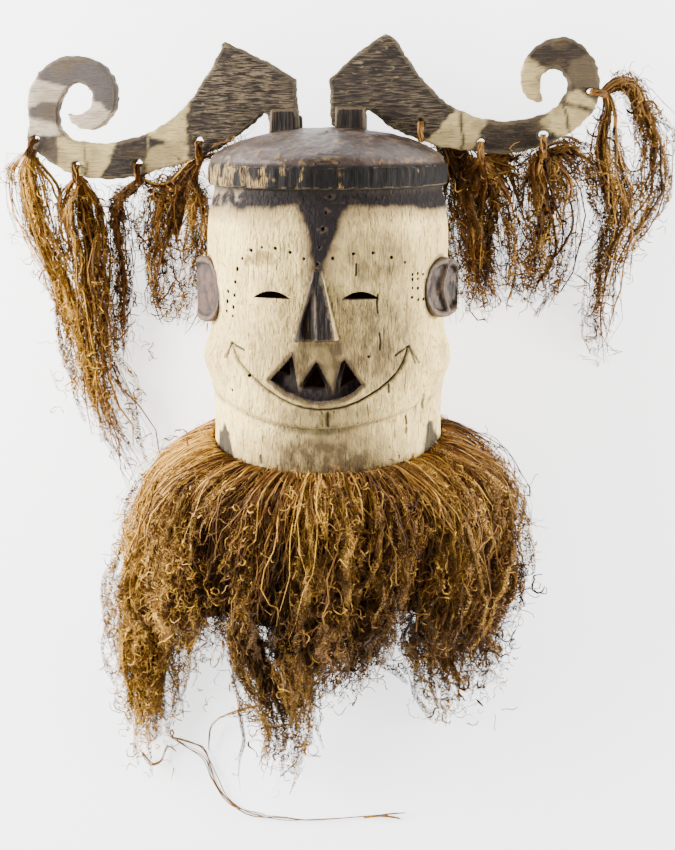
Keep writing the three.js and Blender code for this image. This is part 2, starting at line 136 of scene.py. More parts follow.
def path_distance(points, path):
    """How far each point of the plane is from a path of straight pieces."""
    best = np.full(len(points), 1e9)
    for start, end in zip(path[:-1], path[1:]):
        start, end = np.array(start), np.array(end)
        way = end - start
        share = np.clip(((points - start) @ way) / (way @ way), 0, 1)
        best = np.minimum(best, np.linalg.norm(points - start - share[:, None] * way, axis=1))
    return best


def nearest(points, paths):
    return np.min([path_distance(points, path) for path in paths], axis=0)


def inside_distance(points, outline):
    """How far each point is inside a closed outline; outside it is negative."""
    inside = np.zeros(len(points), bool)
    for (x0, y0), (x1, y1) in zip(outline, outline[1:] + outline[:1]):
        crosses = (y0 > points[:, 1]) != (y1 > points[:, 1])
        reach = (x1 - x0) * (points[:, 1] - y0) / ((y1 - y0) or 1e-9) + x0
        inside ^= crosses & (points[:, 0] < reach)
    distance = path_distance(points, outline + outline[:1])
    return np.where(inside, distance, -distance)


def read(items, what):
    """A vector of each vertex or face of a mesh."""
    values = np.empty(len(items) * 3)
    items.foreach_get(what, values)
    return values.reshape(-1, 3)


def put_vertices(mesh, points, place=(0, 0, 0)):
    """Moves the vertices to these points, in millimetres from the place, which is in metres."""
    mesh.vertices.foreach_set("co", (points / 1000 + np.array(place)).ravel())
    mesh.update()


def put_attribute(mesh, name, values):
    attribute = mesh.attributes.new(name, "FLOAT", "POINT")
    attribute.data.foreach_set("value", np.asarray(values, np.float32))


def link(name, data):
    made = bpy.data.objects.new(name, data)
    bpy.context.scene.collection.objects.link(made)
    return made


def select_only(*targets):
    bpy.ops.object.select_all(action="DESELECT")
    for target in targets:
        target.select_set(True)
    bpy.context.view_layer.objects.active = targets[0]


def edit(target, *steps):
    """Takes steps in edit mode, each a tool and its settings, on the whole mesh."""
    select_only(target)
    bpy.ops.object.mode_set(mode="EDIT")
    for tool, settings in steps:
        bpy.ops.mesh.select_all(action="SELECT")
        tool(**settings)
    bpy.ops.object.mode_set(mode="OBJECT")


def apply_modifier(target, kind, **settings):
    bpy.context.view_layer.objects.active = target
    bpy.ops.object.modifier_add(type=kind)
    modifier = target.modifiers[-1]
    for name, value in settings.items():
        setattr(modifier, name, value)
    bpy.ops.object.modifier_apply(modifier=modifier.name)


def join(parts):
    select_only(*parts)
    if len(parts) > 1:
        bpy.ops.object.join()
    return parts[0]


def combine(target, tools, operation):
    """Joins the tools, which don't touch each other, and adds them to the target or cuts them."""
    settings = {"solver": "MANIFOLD", "material_mode": "TRANSFER"}
    tool = join(tools)
    apply_modifier(target, "BOOLEAN", object=tool, operation=operation, **settings)
    bpy.data.objects.remove(tool)


turn_outwards = (bpy.ops.mesh.normals_make_consistent, {"inside": False})


def flat_solid(outline, back, front, material):
    """A solid with this outline in x and y, between two heights in z."""
    curve = bpy.data.curves.new("outline", "CURVE")
    curve.dimensions = "2D"
    curve.fill_mode = "BOTH"
    curve.extrude = (front - back) / 2000
    line = curve.splines.new("POLY")
    line.points.add(len(outline) - 1)
    line.points.foreach_set("co", [c for x, y in outline for c in (x / 1000, y / 1000, 0, 1)])
    line.use_cyclic_u = True
    shape = link("outline", curve)
    shape.location.z = (front + back) / 2000
    select_only(shape)
    bpy.ops.object.convert(target="MESH")
    edit(shape, (bpy.ops.mesh.remove_doubles, {"threshold": 1e-5}), turn_outwards)
    bpy.ops.object.transform_apply()
    shape.data.materials.clear()
    shape.data.materials.append(material)
    return shape


def bends(mesh, sign):
    """How sharply the surface stands out at each vertex, or falls in with the other sign, from
    0 on the flat to 1 on an edge."""
    points, normals = read(mesh.vertices, "co"), read(mesh.vertices, "normal")
    pairs = np.empty(len(mesh.edges) * 2, np.int64)
    mesh.edges.foreach_get("vertices", pairs)
    first, second = pairs.reshape(-1, 2).T
    way = points[second] - points[first]
    length = np.maximum(np.linalg.norm(way, axis=1), 1e-6)
    bend = sign * np.einsum("ij,ij->i", normals[second] - normals[first], way) / length
    worn, total, count = np.zeros((3, len(points)))
    for end in (first, second):
        np.maximum.at(worn, end, bend)
    for end, other_end in ((first, second), (second, first)):
        np.add.at(total, end, worn[other_end])
        np.add.at(count, end, 1)
    return np.clip((0.5 * worn + 0.5 * total / np.maximum(count, 1)) * 2.2, 0, 1)


paint, cap_wood, nose_wood, ear_wood, mouth_wood, bare_wood, post_wood = [
    bpy.data.materials.new(name)
    for name in (
        "kaolin_paint", "cap_wood", "nose_wood", "ear_wood", "mouth_wood", "bare_wood", "post_wood"
    )
]

# Each row of the head is a height and a radius.
ring_size = 100
outer_profile = np.array(
    [(0.8, 117.2), (19, 118), (51, 117.5), (82, 118.5), (150, 119), (182, 121), (212, 122.5),
     (234, 123), (252, 121.5), (268, 118.5), (280, 114.8)]
)
head_rows = [(318, 8), (315.5, 38), (310, 68), (299, 90), (276, 101)]
head_rows += [(height, 105) for height in (240, 195, 150, 105, 60, 20, 3)]
head_rows += [(0.6, 105.6), (0, 107), (0, 115.8)]
for height in (0.8, 3, *np.arange(7.5, 281, 5.5)):
    head_rows.append((height, np.interp(height, *outer_profile.T)))
head_rows += [(282.4, 114.6), (283.6, 116.4), (284.1, 119.4), (285.2, 121), (289, 121.3)]
head_rows += [(294, 121.4), (299, 121.3), (302.4, 121), (304.4, 120.3), (305.6, 118.9)]
dome_shares = (0.965, 0.94, 0.905, 0.86, 0.81, 0.755, *np.arange(70, 21, -6) / 100, 0.16, 0.1, 0.05)
for share in dome_shares:
    head_rows.append((305 + 35 * (1 - share**2) ** 0.6, 121 * share))
bpy.ops.mesh.primitive_circle_add(
    vertices=ring_size, radius=head_rows[0][1] / 1000, location=(0, head_rows[0][0] / 1000, 0),
    rotation=(math.pi / 2, 0, 0),
)
helmet = bpy.context.object
helmet.name = "helmet_carved"
bpy.ops.object.transform_apply()
bpy.ops.object.mode_set(mode="EDIT")
bpy.ops.mesh.select_all(action="SELECT")
for (height, half), (next_height, next_half) in zip(head_rows[:-1], head_rows[1:]):
    step = (0, (next_height - height) / 1000, 0)
    bpy.ops.mesh.extrude_region_move(TRANSFORM_OT_translate={"value": step})
    bpy.ops.transform.resize(value=(next_half / half, 1, next_half / half))
bpy.ops.mesh.merge(type="CENTER")
bpy.ops.mesh.select_all(action="DESELECT")
bpy.ops.object.mode_set(mode="OBJECT")
for vertex in helmet.data.vertices[:ring_size]:
    vertex.select = True
bpy.ops.object.mode_set(mode="EDIT")
bpy.ops.mesh.merge(type="CENTER")
bpy.ops.object.mode_set(mode="OBJECT")
edit(helmet, turn_outwards)
apply_modifier(helmet, "SUBSURF", levels=1)
bpy.ops.object.shade_smooth()

smile = [
    (-85.8, 131), (-76.7, 114.4), (-65.7, 103.9), (-55, 95.2), (-44.5, 88.3), (-34.3, 82.7),
    (-22.2, 77.5), (-9.3, 74.1), (3.4, 72.9), (16.8, 73.5), (29.2, 75.7), (41.5, 80.2),
    (50.9, 85.5), (60.3, 90.8), (69.5, 97.8), (76.9, 105.9), (82.4, 115.1), (87.5, 130),
]
barbs = [
    [(-92.1, 116), (-88.5, 126), (-85.8, 132), (-80, 129.5), (-72, 126.5)],
    [(76, 123), (82, 127.4), (87.9, 130.5), (91, 123), (95, 113.5)],
]
mouth = [
    (-44.1, 100), (-21.6, 125.5), (-20.2, 117), (-16.4, 93.6), (1.3, 119.5), (3.2, 118.6),
    (17.3, 91), (25.2, 118.5), (28.9, 121.5), (44.9, 96.6), (38, 90.2), (30.5, 85.5),
    (22, 82.7), (13.7, 81.3), (6, 80.5), (-1.1, 80.4), (-8, 82), (-14.7, 84.6), (-28.4, 89.1),
]
cracks = [
    [(59.3, 184), (58.6, 176), (59.4, 166)], [(39.6, 214), (39.3, 203)],
    [(61, 146), (61.8, 138), (61.4, 130)], [(2.7, -2), (1.8, 9)], [(-42.5, -2), (-42, 7)],
    [(86, 60), (86.6, 52), (86.2, 43)], [(101, 80), (102, 64)], [(69.5, 95), (70, 87)],
    [(-56, 22), (-55.4, 14)],
]


def split_faces(target, chosen, cuts):
    """Divides the chosen faces of a mesh."""
    bpy.context.tool_settings.mesh_select_mode = (False, False, True)
    bpy.ops.object.mode_set(mode="EDIT")
    bpy.ops.mesh.select_all(action="DESELECT")
    bpy.ops.object.mode_set(mode="OBJECT")
    target.data.polygons.foreach_set("select", chosen)
    bpy.ops.object.mode_set(mode="EDIT")
    bpy.ops.mesh.subdivide(number_cuts=cuts)
    bpy.ops.object.mode_set(mode="OBJECT")
    bpy.context.tool_settings.mesh_select_mode = (True, False, False)


# The front of the face and of the brim carry the carving, so they have finer faces, and finer
# ones still along the lines that are cut in.
x, up, out = read(helmet.data.polygons, "center").T * 1000
fine = (np.hypot(x, out) > 112) & (out > 66) & (up > 52) & (up < 230)
split_faces(helmet, fine | (out > 40) & (up > 285) & (up < 305), 1)
x, up, out = read(helmet.data.polygons, "center").T * 1000
cut_lines = [smile, mouth + mouth[:1], *barbs, *cracks]
near_line = nearest(np.stack([x, up], 1), cut_lines) < 3.0
split_faces(helmet, near_line & (np.hypot(x, out) > 112) & (out > 50) & (up < 230), 2)

# The head is a little deeper than wide, bulges at the cheeks, and has a ridge over the chin.
points = read(helmet.data.vertices, "co") * 1000
x, up = points[:, 0], points[:, 1]
skin = (np.hypot(x, points[:, 2]) > 111) & (up > 0.5) | (up > 304)
turn = np.arctan2(x, points[:, 2])
front = smoothstep(0.1, 0.45, np.cos(turn))
below_brim = up < 283.9
chin = up - 54 - 26 * np.sin(turn) ** 2
ratio = np.where(below_brim, 1.02 + 0.04 * smoothstep(-2.5, 2.5, chin), 1.091)
points[:, 2] *= np.where(skin, ratio, 1.02)
press = 10 * hill(up - 110, 21) * hill(abs(turn) - 1.4, 0.55)
press += (2.0 * hill(chin - 5, 4.5) - 1.5 * hill(chin + 5, 5)) * front

# The smile deepens to the right. The mouth has a raised lip with a line round it.
across = np.stack([x, up], 1)
groove = path_distance(across, smile)
press -= (1.5 + 1.1 * smoothstep(-70, 60, x)) * hill(groove, 1.15) * front
press += 0.5 * hill(groove - 3.4, 2.2) * front
press -= 1.8 * hill(nearest(across, barbs), 0.9) * front
lip = -inside_distance(across, mouth)
under = smoothstep(116, 98, up)
press += 1.5 * hill(lip - 3.6, 3) * front * under
press -= 0.6 * hill(lip - 7.4, 0.9) * front * under * (groove > 2.5)
notch = np.minimum(6.5 - abs(x - 12.5), 8 - abs(up - 63.5))
press -= 2.6 * smoothstep(-1.5, 2.5, notch) * (0.55 + 0.45 * np.cos((x - 12.5) * 0.9)) * front
press -= 1.6 * hill(nearest(across, cracks), 0.7) * front

# The surface is uneven from the knife, and flakes are off the dome and the edge of the brim.
press += noise(points, (0.030, 0.022, 0.030), 1) * 0.9 * below_brim
press += noise(points, (0.13, 0.045, 0.13), 2) * 0.55
press += noise(points, (0.21, 0.1, 0.21), 3) * 0.28 * below_brim
dome = up > 305
press += dome * (noise(points, 0.05, 4) * 0.7 + noise(points, (0.2, 0.12, 0.2), 5) * 0.4)
brim = (up > 285) & (up < 304.5) & skin
press += brim * noise(points, (0.3, 0.06, 0.3), 6) * (0.4 + 0.6 * front)
flake = np.hypot((x - 8) / 1.25, up - 330) + 4 * noise(points, 0.12, 7)
press -= dome * (points[:, 2] > 0) * smoothstep(9, 6.5, flake) * 0.9
step = (up > 303) & (up < 312) & (x > 2) & (x < 34) & (points[:, 2] > 0)
press -= step * smoothstep(0, 6, x - 2) * smoothstep(34, 22, x) * 1.6
points += read(helmet.data.vertices, "normal") * (press * skin)[:, None]
points[:, 2] = np.maximum(points[:, 2], floor_level)
put_vertices(helmet.data, points)


def face_depth(x, up):
    """How far out the face is at x across and up, in millimetres."""
    half = np.interp(up, *outer_profile.T)
    return half * 1.06 * math.sqrt(max(0, 1 - (x / half) ** 2))


# Nose: a wedge with a flat front and a long scoop out of its left side.
bridge, root, tip = face_depth(0, 213), face_depth(0, 209), face_depth(0, 140)
nose_corners = [
    (-3, 213, bridge - 6), (9, 212, bridge - 6), (0.5, 209, root + 2.5), (6.6, 208, root + 2.5),
    (-20, 140, tip - 9), (25, 140.5, tip - 9), (-18.3, 140.5, tip + 11.5), (20.8, 141, tip + 12.5),
]
nose_mesh = bpy.data.meshes.new("nose")
nose_mesh.from_pydata([tuple(c / 1000 for c in corner) for corner in nose_corners], [], [])
nose = link("nose", nose_mesh)
round_edges = (bpy.ops.mesh.bevel, {"offset": 0.0013, "segments": 2})
edit(nose, (bpy.ops.mesh.convex_hull, {}), round_edges, turn_outwards)
nose_mesh.materials.append(nose_wood)
nose_mesh.materials.append(paint)
apply_modifier(nose, "REMESH", mode="VOXEL", voxel_size=0.0011)
points, normals = read(nose.data.vertices, "co") * 1000, read(nose.data.vertices, "normal")
scoop = np.array([(-6.5, 140), (-6.2, 156), (-3.6, 172), (0, 186)])
scoop_edge = [140, 150, 168, 186]
x, up = points[:, 0], points[:, 1]
off_middle = abs(x - np.interp(up, scoop[:, 1], scoop[:, 0]))
depth = np.interp(up, [138, 146, 160, 175, 188], [7.5, 7, 5.5, 3, 0])
hollow = depth * np.exp(-((off_middle / np.interp(up, scoop_edge, [7.2, 7, 5, 1.5])) ** 4))
hollow += 0.7 * noise(points, (0.5, 0.06, 0.2), 8) * smoothstep(0.5, 2, hollow)
hollow *= points[:, 2] > face_depth(0, 160) - 6
cuts = noise(points, (0.35, 0.09, 0.35), 9) * 0.35 + noise(points, (0.08, 0.05, 0.08), 10) * 0.5
points[:, 2] -= hollow
put_vertices(nose.data, points + normals * cuts[:, None])
for face in nose.data.polygons:
    right_edge = 21.3 - (face.center.y * 1000 - 141) * 0.208
    face.material_index = int(face.normal.x > 0.3 and face.center.x * 1000 > right_edge)

# Ears: a round boss with a dished front, cut straight along its outer edge. The right one has
# a knob in the dish, with two ridges running from it up and down towards the outer edge.
ears = []
for side, height, radius, reach, out, dished in (
    (-1, 180, 33, 131, 122.5, 3.2), (1, 184, 30, 134, 123.5, 5.5)
):
    facing = Vector((side * 0.766, 0, 0.643))
    place = Vector((side * out, height, 46)) / 1000
    bpy.ops.mesh.primitive_cylinder_add(
        vertices=72, radius=radius / 1000, depth=0.026, end_fill_type="NGON",
        location=place - facing * 0.013, rotation=facing.to_track_quat("Z", "Y").to_euler(),
    )
    ear = bpy.context.object
    ear.data.materials.append(ear_wood)
    edit(ear, (bpy.ops.mesh.bevel, {"offset": 0.002, "segments": 3}))
    apply_modifier(ear, "REMESH", mode="VOXEL", voxel_size=0.0016)
    to_ear = ear.matrix_world.to_3x3().inverted()
    local = read(ear.data.vertices, "co") * 1000
    spots = local[:, :2].copy()
    away = np.hypot(*spots.T)
    on_front = local[:, 2] > 9
    dish = dished * smoothstep(radius - 4, radius - 9, away)
    if side > 0:
        inward = np.array((to_ear @ Vector((-1, 0, 0.2))).normalized())[:2]
        upward = np.array(to_ear @ Vector((0, 1, 0)))[:2]
        knob = inward * 7
        ridges = [knob, knob - inward * 12 + upward * 22], [knob, knob - inward * 13 - upward * 21]
        dish -= 5 * hill(nearest(spots, ridges), 3.2) * smoothstep(radius - 3, radius - 8, away)
        dish -= 2.2 * hill(np.linalg.norm(spots - knob, axis=1), 6)
        flutes = 0.3 * np.sin(spots @ inward * 1.5) * smoothstep(4, 10, -(spots @ inward))
        dish += flutes * smoothstep(radius - 5, radius - 10, away)
    inner_side = np.array(to_ear @ Vector((-side, 0, 0)))[:2]
    toward_face = spots @ inner_side / np.hypot(*inner_side)
    dish *= smoothstep(radius * 0.95, radius * 0.3, toward_face)
    local[:, 2] -= on_front * dish
    local[:, 2] += noise(local, 0.09, 11 + side) * 0.8
    local[:, :2] *= 1 + (noise(local, 0.06, 13 + side) * 0.02)[:, None]
    put_vertices(ear.data, local)
    bpy.ops.object.transform_apply()
    far = reach + 60
    edge = [(side * ex, ey) for ex, ey in ((reach, -60), (far, -60), (far, 400), (reach, 400))]
    combine(ear, [flat_solid(edge, -90, 90, ear_wood)], "DIFFERENCE")
    ears.append(ear)

# Cheeks of the cap that hold the horn boards: the front pair shows; a plainer pair behind.
posts = []
for foot, top, height in (((-60, -28), (-57.8, -30.3), 358.5), ((7, 39.4), (8, 38.3), 360.5)):
    outline = [(foot[0], 322), (foot[1], 322), (top[1], height), (top[0], height)]
    posts.append(flat_solid(outline, -8, 8, post_wood))
    left, right, height = foot[0] + 2, foot[1] - 2, height - 6
    outline = [(left, 322), (right, 322), (right, height), (left, height)]
    posts.append(flat_solid(outline, -37, -24, post_wood))
for post in posts:
    edit(post, (bpy.ops.mesh.bevel, {"offset": 0.0012, "segments": 2}))
    apply_modifier(post, "REMESH", mode="VOXEL", voxel_size=0.002)
    rough = read(post.data.vertices, "co") * 1000
    rough += np.stack([noise(rough, (0.09, 0.05, 0.09), 20 + axis) * 0.5 for axis in range(3)], 1)
    # Their faces toward the boards stay flat.
    depth = np.clip(rough[:, 2], -37.4, 8.4)
    depth = np.where((depth < -8) & (depth > -12), -8, depth)
    rough[:, 2] = np.where((depth > -24) & (depth < -20), -24, depth)
    put_vertices(post.data, rough)

x, up, out = read(helmet.data.polygons, "center").T * 1000
away = np.hypot(x, out / 1.02)
slots = np.where(up > 283.8, 1, 0)
slots = np.where((away < 110) & (up < 304) | (away < 100) & (up < 319), 2, slots)
slots = np.where((away < 96) & (up > 319), 1, slots)
for material in (paint, cap_wood, bare_wood):
    helmet.data.materials.append(material)
helmet.data.polygons.foreach_set("material_index", slots.astype(np.int32))
combine(helmet, [nose, *ears, *posts], "UNION")

# The mouth is a recess with two teeth left standing, and three openings through the wall.
recess = flat_solid(mouth, 60, 150, mouth_wood)
bpy.ops.mesh.primitive_cylinder_add(
    vertices=160, radius=1, depth=0.3, location=(0, 0.1, 0), rotation=(math.pi / 2, 0, 0)
)
core = bpy.context.object
core.scale = (0.1115, 0.1172, 1)
bpy.ops.object.transform_apply()
core.data.materials.append(mouth_wood)
combine(recess, [core], "DIFFERENCE")
combine(helmet, [recess], "DIFFERENCE")

# Small holes in rows over the eyes, at the ears, down the brow and at the neck rim.
dots = [
    (-72.3, 216.7), (-62.3, 225.1), (-51.1, 228.6), (-37.3, 228.3), (-22.8, 224.9), (-9.2, 219),
    (-78.1, 206), (-80.6, 193), (-82, 179.6), (-84, 167.6), (-85.3, 158.5), (-89.8, 182.5),
    (-91.2, 172.4), (-92.7, 162.3), (17.9, 219.7), (37, 223.7), (54.9, 224.1), (71.9, 219),
    (84.3, 213.3), (91.3, 200.9), (91.3, 196), (91.4, 187.7), (91, 178.5), (96.6, 201.3),
    (96.6, 196), (96.6, 186.6), (96.7, 175.3), (101.4, 199.7), (101.5, 175), (14.6, 277.3),
    (11.3, 262.1), (8.8, 247.3), (5.3, 229.9), (3.5, 214), (-81.9, 4.5), (-42.8, 3), (91.3, 6.5),
    (112.7, 7), (51, 124), (-66, 102), (-87, 84),
]
holes = []
for index, (x, up) in enumerate(dots):
    wide = (1.75 + 0.25 * math.sin(index * 2.3)) * (1.25 if x < -76 else 1.0)
    if up < 10:
        wide = 3
    out = face_depth(x, up)
    way = Vector((x, 0, out / 1.12)).normalized()
    bpy.ops.mesh.primitive_cone_add(
        vertices=9, radius1=wide * 0.7 / 1000, radius2=wide * 1.1 / 1000, depth=0.016,
        location=Vector((x, up, out)) / 1000, rotation=way.to_track_quat("Z", "Y").to_euler(),
    )
    bpy.context.object.data.materials.append(mouth_wood)
    holes.append(bpy.context.object)
openings = [join(holes)]
bpy.ops.object.transform_apply()
for outline in (
    [(-25.9, 117.8), (-39.3, 101.9), (-23.7, 100.1)], [(1.5, 114.2), (-14.6, 89.1), (12.1, 88.8)],
    [(27.5, 116.3), (21.7, 87.3), (43.4, 96.6)],
):
    opening = flat_solid(outline, 88, 124, mouth_wood)
    middle = np.array([*np.mean(outline, axis=0), 0])
    corners = read(opening.data.vertices, "co") * 1000
    deep_end = corners[:, 2] < 100
    corners[deep_end, :2] = (middle + (0, 9, 0) + (corners[deep_end] - middle) * 0.6)[:, :2]
    put_vertices(opening.data, corners)
    openings.append(opening)
for left, right, height, peak in ((-60.7, -22.6, 180, 187), (25.4, 61.1, 179.5, 187.4)):
    shares = np.linspace(0, 1, 15)
    arch = height + (peak - height) * (1 - (2 * shares - 1) ** 2)
    slit = list(zip((left + (right - left) * shares).tolist(), arch.tolist()))
    openings.append(flat_solid(slit, 70, 150, mouth_wood))
combine(helmet, openings, "DIFFERENCE")

# What the finish needs to know, at each vertex, in millimetres or from 0 to 1.
points = read(helmet.data.vertices, "co") * 1000
x, up = points[:, 0], points[:, 1]
across = np.stack([x, up], 1)
facing_out = points[:, 2] > 0
wedge = [
    (-16.3, 275), (-16.3, 267.5), (-9.5, 260), (-5.8, 241), (-3.9, 227), (-1.5, 209), (9, 209),
    (15.1, 222.5), (17.9, 236.7), (24.4, 253.6), (33.7, 267.6), (33.7, 275),
]
band = up - np.interp(x, [-120, -80, -40, -16, 34, 80, 120], [262, 263, 267, 268, 268, 266, 261])
dark = np.maximum(band, np.where(facing_out, inside_distance(across, wedge), -50))
left_mark = inside_distance(across, [(-98.5, 47), (-119, -14), (-80, -10)])
right_mark = inside_distance(across, [(108.5, 46), (96, -9), (124, 4)])
to_mouth = inside_distance(across, mouth)
groove = path_distance(across, smile)
# Painted shade in the grooves, the cracks and round the edge of the mouth.
soot = np.max([
    hill(groove, 1.0) * (0.5 + 0.5 * smoothstep(-70, 40, x)), 0.95 * hill(nearest(across, barbs), 0.9),
    0.7 * hill(nearest(across, cracks), 0.8), 0.75 * hill(to_mouth, 1.2),
], axis=0)
under_nose = inside_distance(across, [(-20, 139), (26, 139), (30, 96), (-24, 96)])
# Dirty patches, and painted shade: the middle and the right of the face are darker, and the broad patch
# over the middle is painted shade only.
stains_and_shade = [
    1.1 * smoothstep(-9, 3, under_nose), 0.5 * smoothstep(14, 2, -to_mouth),
    1.35 * smoothstep(7.5, 2, -to_mouth), 0.5 * hill(groove, 5),
]
for middle_x, middle_y, wide, tall, strength in (
    (12, 12, 84, 54, 1.2), (8, 66, 70, 19, 0.8), (2, 112, 48, 28, 1.05), (56, 142, 52, 70, 1.0),
    (20, 165, 26, 46, 0.8), (58, 216, 42, 40, 0.85), (-36, 150, 36, 40, 0.34), (-88, 12, 16, 22, 0.4),
    (16, 130, 104, 120, 0.4), (-20, 224, 40, 18, 0.4), (36, 258, 44, 14, 0.5), (-52, 256, 50, 12, 0.35),
):
    away = np.hypot((x - middle_x) / wide, (up - middle_y) / tall)
    stains_and_shade.append(strength * smoothstep(1.25, 0.35, away))
spots = np.minimum(np.hypot((x + 53) / 24, (up - 217) / 12), np.hypot((x - 18) / 10, (up - 236) / 20))
in_scoop = abs(x - np.interp(up, scoop[:, 1], scoop[:, 0])) / np.interp(up, scoop_edge, [7, 7, 5, 1.5])
on_brim = (up > 286.5) & (up < 303) & (np.hypot(x, points[:, 2]) > 112)
for name, values in (
    ("dark", np.clip(dark, -30, 30)),
    ("mark", np.where(facing_out, np.maximum(left_mark, right_mark), -30)),
    ("soot", soot * facing_out), ("stain", np.max(stains_and_shade, axis=0) * facing_out),
    ("patch", np.where(facing_out, 1 - spots, -1)),
    ("bare", (1.25 - in_scoop) * (up > 140) * (up < 190) * (points[:, 2] > 118)),
    ("deep", 126 - np.hypot(x * 1.06, points[:, 2])),
    ("worn", bends(helmet.data, 1) * np.where(on_brim, 0.3, 1)), ("sunk", bends(helmet.data, -1)),
):
    put_attribute(helmet.data, name, values)


def nodes_of(material):
    material.use_nodes = True
    return material.node_tree


# The helpers put their nodes into the tree that is worked on at the time.
def node(kind, inputs=None, **settings):
    made = tree.nodes.new("ShaderNode" + kind)
    for name, value in settings.items():
        setattr(made, name, value)
    for name, value in (inputs or {}).items():
        if isinstance(value, bpy.types.NodeSocket):
            tree.links.new(value, made.inputs[name])
        else:
            made.inputs[name].default_value = value
    return made


def attribute(name):
    return node("Attribute", attribute_name=name).outputs["Fac"]


def along(axis):
    """How far a spot is along x, y or z, in metres."""
    where = node("TexCoord").outputs["Object"]
    return node("SeparateXYZ", {0: where}).outputs[axis]


def maths(operation, a, b):
    return node("Math", {0: a, 1: b}, operation=operation).outputs[0]


def total(*terms):
    """The sum of masks. A pair of a mask and its weight is multiplied first."""
    masks = [maths("MULTIPLY", *term) if isinstance(term, tuple) else term for term in terms]
    added = masks[0]
    for mask in masks[1:]:
        added = maths("ADD", added, mask)
    return added


def ramp(value, low, high, top=1.0):
    """Nothing below low, top above high, and a smooth change between."""
    inputs = {"Value": value, "From Min": low, "From Max": high, "To Max": top}
    return node("MapRange", inputs, interpolation_type="SMOOTHSTEP").outputs["Result"]


def mixed(share, a, b):
    a, b = [c if isinstance(c, bpy.types.NodeSocket) else (*c, 1) for c in (a, b)]
    return node("Mix", {0: share, 6: a, 7: b}, data_type="RGBA").outputs[2]


def new_group(name, inputs, output):
    """A node group with these sockets, and its input and output nodes."""
    group = bpy.data.node_groups.new(name, "ShaderNodeTree")
    for label, kind in inputs.items():
        group.interface.new_socket(label, in_out="INPUT", socket_type="NodeSocket" + kind)
    for label, kind in output.items():
        group.interface.new_socket(label, in_out="OUTPUT", socket_type="NodeSocket" + kind)
    return group, group.nodes.new("NodeGroupInput").outputs, group.nodes.new("NodeGroupOutput").inputs


# Noise drawn out along the grain, used by all the wood and the fibre.
tree, given, result = new_group("drawn_noise", {"Scale": "Vector", "Detail": "Float"}, {"Value": "Float"})
grain_group = tree
where = node("TexCoord").outputs["Object"]
where = node("Mapping", {"Vector": where, "Scale": given["Scale"]}).outputs[0]
cloud = node("TexNoise", {"Vector": where, "Scale": 1, "Detail": given["Detail"], "Distortion": 0.3})
tree.links.new(cloud.outputs["Fac"], result["Value"])


def grain(scale, detail=3.0):
    made = node("Group", {}, node_tree=grain_group)
    made.inputs["Scale"].default_value = scale
    made.inputs["Detail"].default_value = detail
    return made.outputs["Value"]


def coats(color, *layers):
    """Lays coats over a colour. Each shows where its mask goes from low to high, up to a top
    share. A mask is a socket, or the scale and detail of drawn noise."""
    for mask, low, high, top, coat in layers:
        if isinstance(mask, tuple):
            mask = grain(*mask)
        color = mixed(ramp(mask, low, high, top), color, coat)
    return color


# Pale edges where handling has rubbed a surface, and painted shade in its hollows.
tree, given, result = new_group(
    "rubbed", {"Color": "Color", "Rubbed": "Color", "Amount": "Float"}, {"Color": "Color"}
)
rub_and_hollow_shade_group = tree
uneven = (grain((140, 140, 140), 4), 0.9)
edge = maths("SUBTRACT", total(attribute("worn"), uneven), 0.55)
edge = maths("MULTIPLY", ramp(edge, 0.4, 0.75), given["Amount"])
color = coats(
    mixed(edge, given["Color"], given["Rubbed"]),
    # Painted shade: darker where the surface falls in.
    (attribute("sunk"), 0.2, 0.9, 0.6, (0.02, 0.015, 0.01)),
)
tree.links.new(color, result["Color"])


def surface(color, roughness, specular):
    """Puts the colour and the gloss into the material's shader."""
    shader = tree.nodes["Principled BSDF"]
    tree.links.new(color, shader.inputs["Base Color"])
    shader.inputs["Roughness"].default_value = roughness
    shader.inputs["Specular IOR Level"].default_value = specular
    return shader


def emboss(height, depth):
    bump = node("Bump", {"Height": height, "Distance": depth, "Strength": 1.0})
    tree.links.new(bump.outputs["Normal"], tree.nodes["Principled BSDF"].inputs["Normal"])


def old_wood(color, rubbed, amount, roughness, height, depth, specular=0.12):
    """Puts the rubbed edges and the painted shade of the hollows over the colour, and the height in as a
    bump of this depth.
    """
    rub_and_shade = node("Group", {}, node_tree=rub_and_hollow_shade_group)
    tree.links.new(color, rub_and_shade.inputs["Color"])
    rub_and_shade.inputs["Rubbed"].default_value = (*rubbed, 1)
    rub_and_shade.inputs["Amount"].default_value = amount
    emboss(height, depth)
    return surface(rub_and_shade.outputs["Color"], roughness, specular)


# Kaolin over the face, worn and stained, with the dark paint of the brow and its wedge, painted shade over
# the middle and right of the face, and painted shade in the grooves.
tree = nodes_of(paint)
brush, crumbs = grain((480, 150, 480), 5), grain((190, 120, 190), 6)
scratches, pits = grain((420, 36, 420), 3), grain((520, 190, 520), 3)
rough_edge = maths("MULTIPLY", maths("SUBTRACT", grain((65, 65, 65), 6), 0.5), 11)
dark = total(attribute("dark"), rough_edge)
stain = total((ramp(grain((95, 60, 95), 6), 0.3, 0.68), 0.34), 0.62)
# The dark paint is paler brown in patches towards the left.
paler_left = total(ramp(along("X"), -0.02, -0.095, 0.3), grain((45, 60, 45), 5))
night = coats(
    (0.0095, 0.007, 0.0065),
    (((260, 150, 260), 5), 0.56, 0.7, 0.6, (0.034, 0.021, 0.012)),
    (paler_left, 0.68, 0.82, 0.8, (0.2, 0.145, 0.085)),
)
cream, dirty = (0.74, 0.55, 0.2), (0.4, 0.275, 0.1)
color = coats(
    cream,
    (((20, 12, 20), 4), 0.38, 0.66, 0.6, dirty),
    (((75, 40, 75), 5), 0.44, 0.64, 0.5, dirty),
    (brush, 0.52, 0.68, 0.24, (0.2, 0.135, 0.06)),
    (brush, 0.46, 0.34, 0.3, (0.88, 0.72, 0.38)),
    (crumbs, 0.55, 0.7, 0.45, (0.22, 0.15, 0.066)),
)
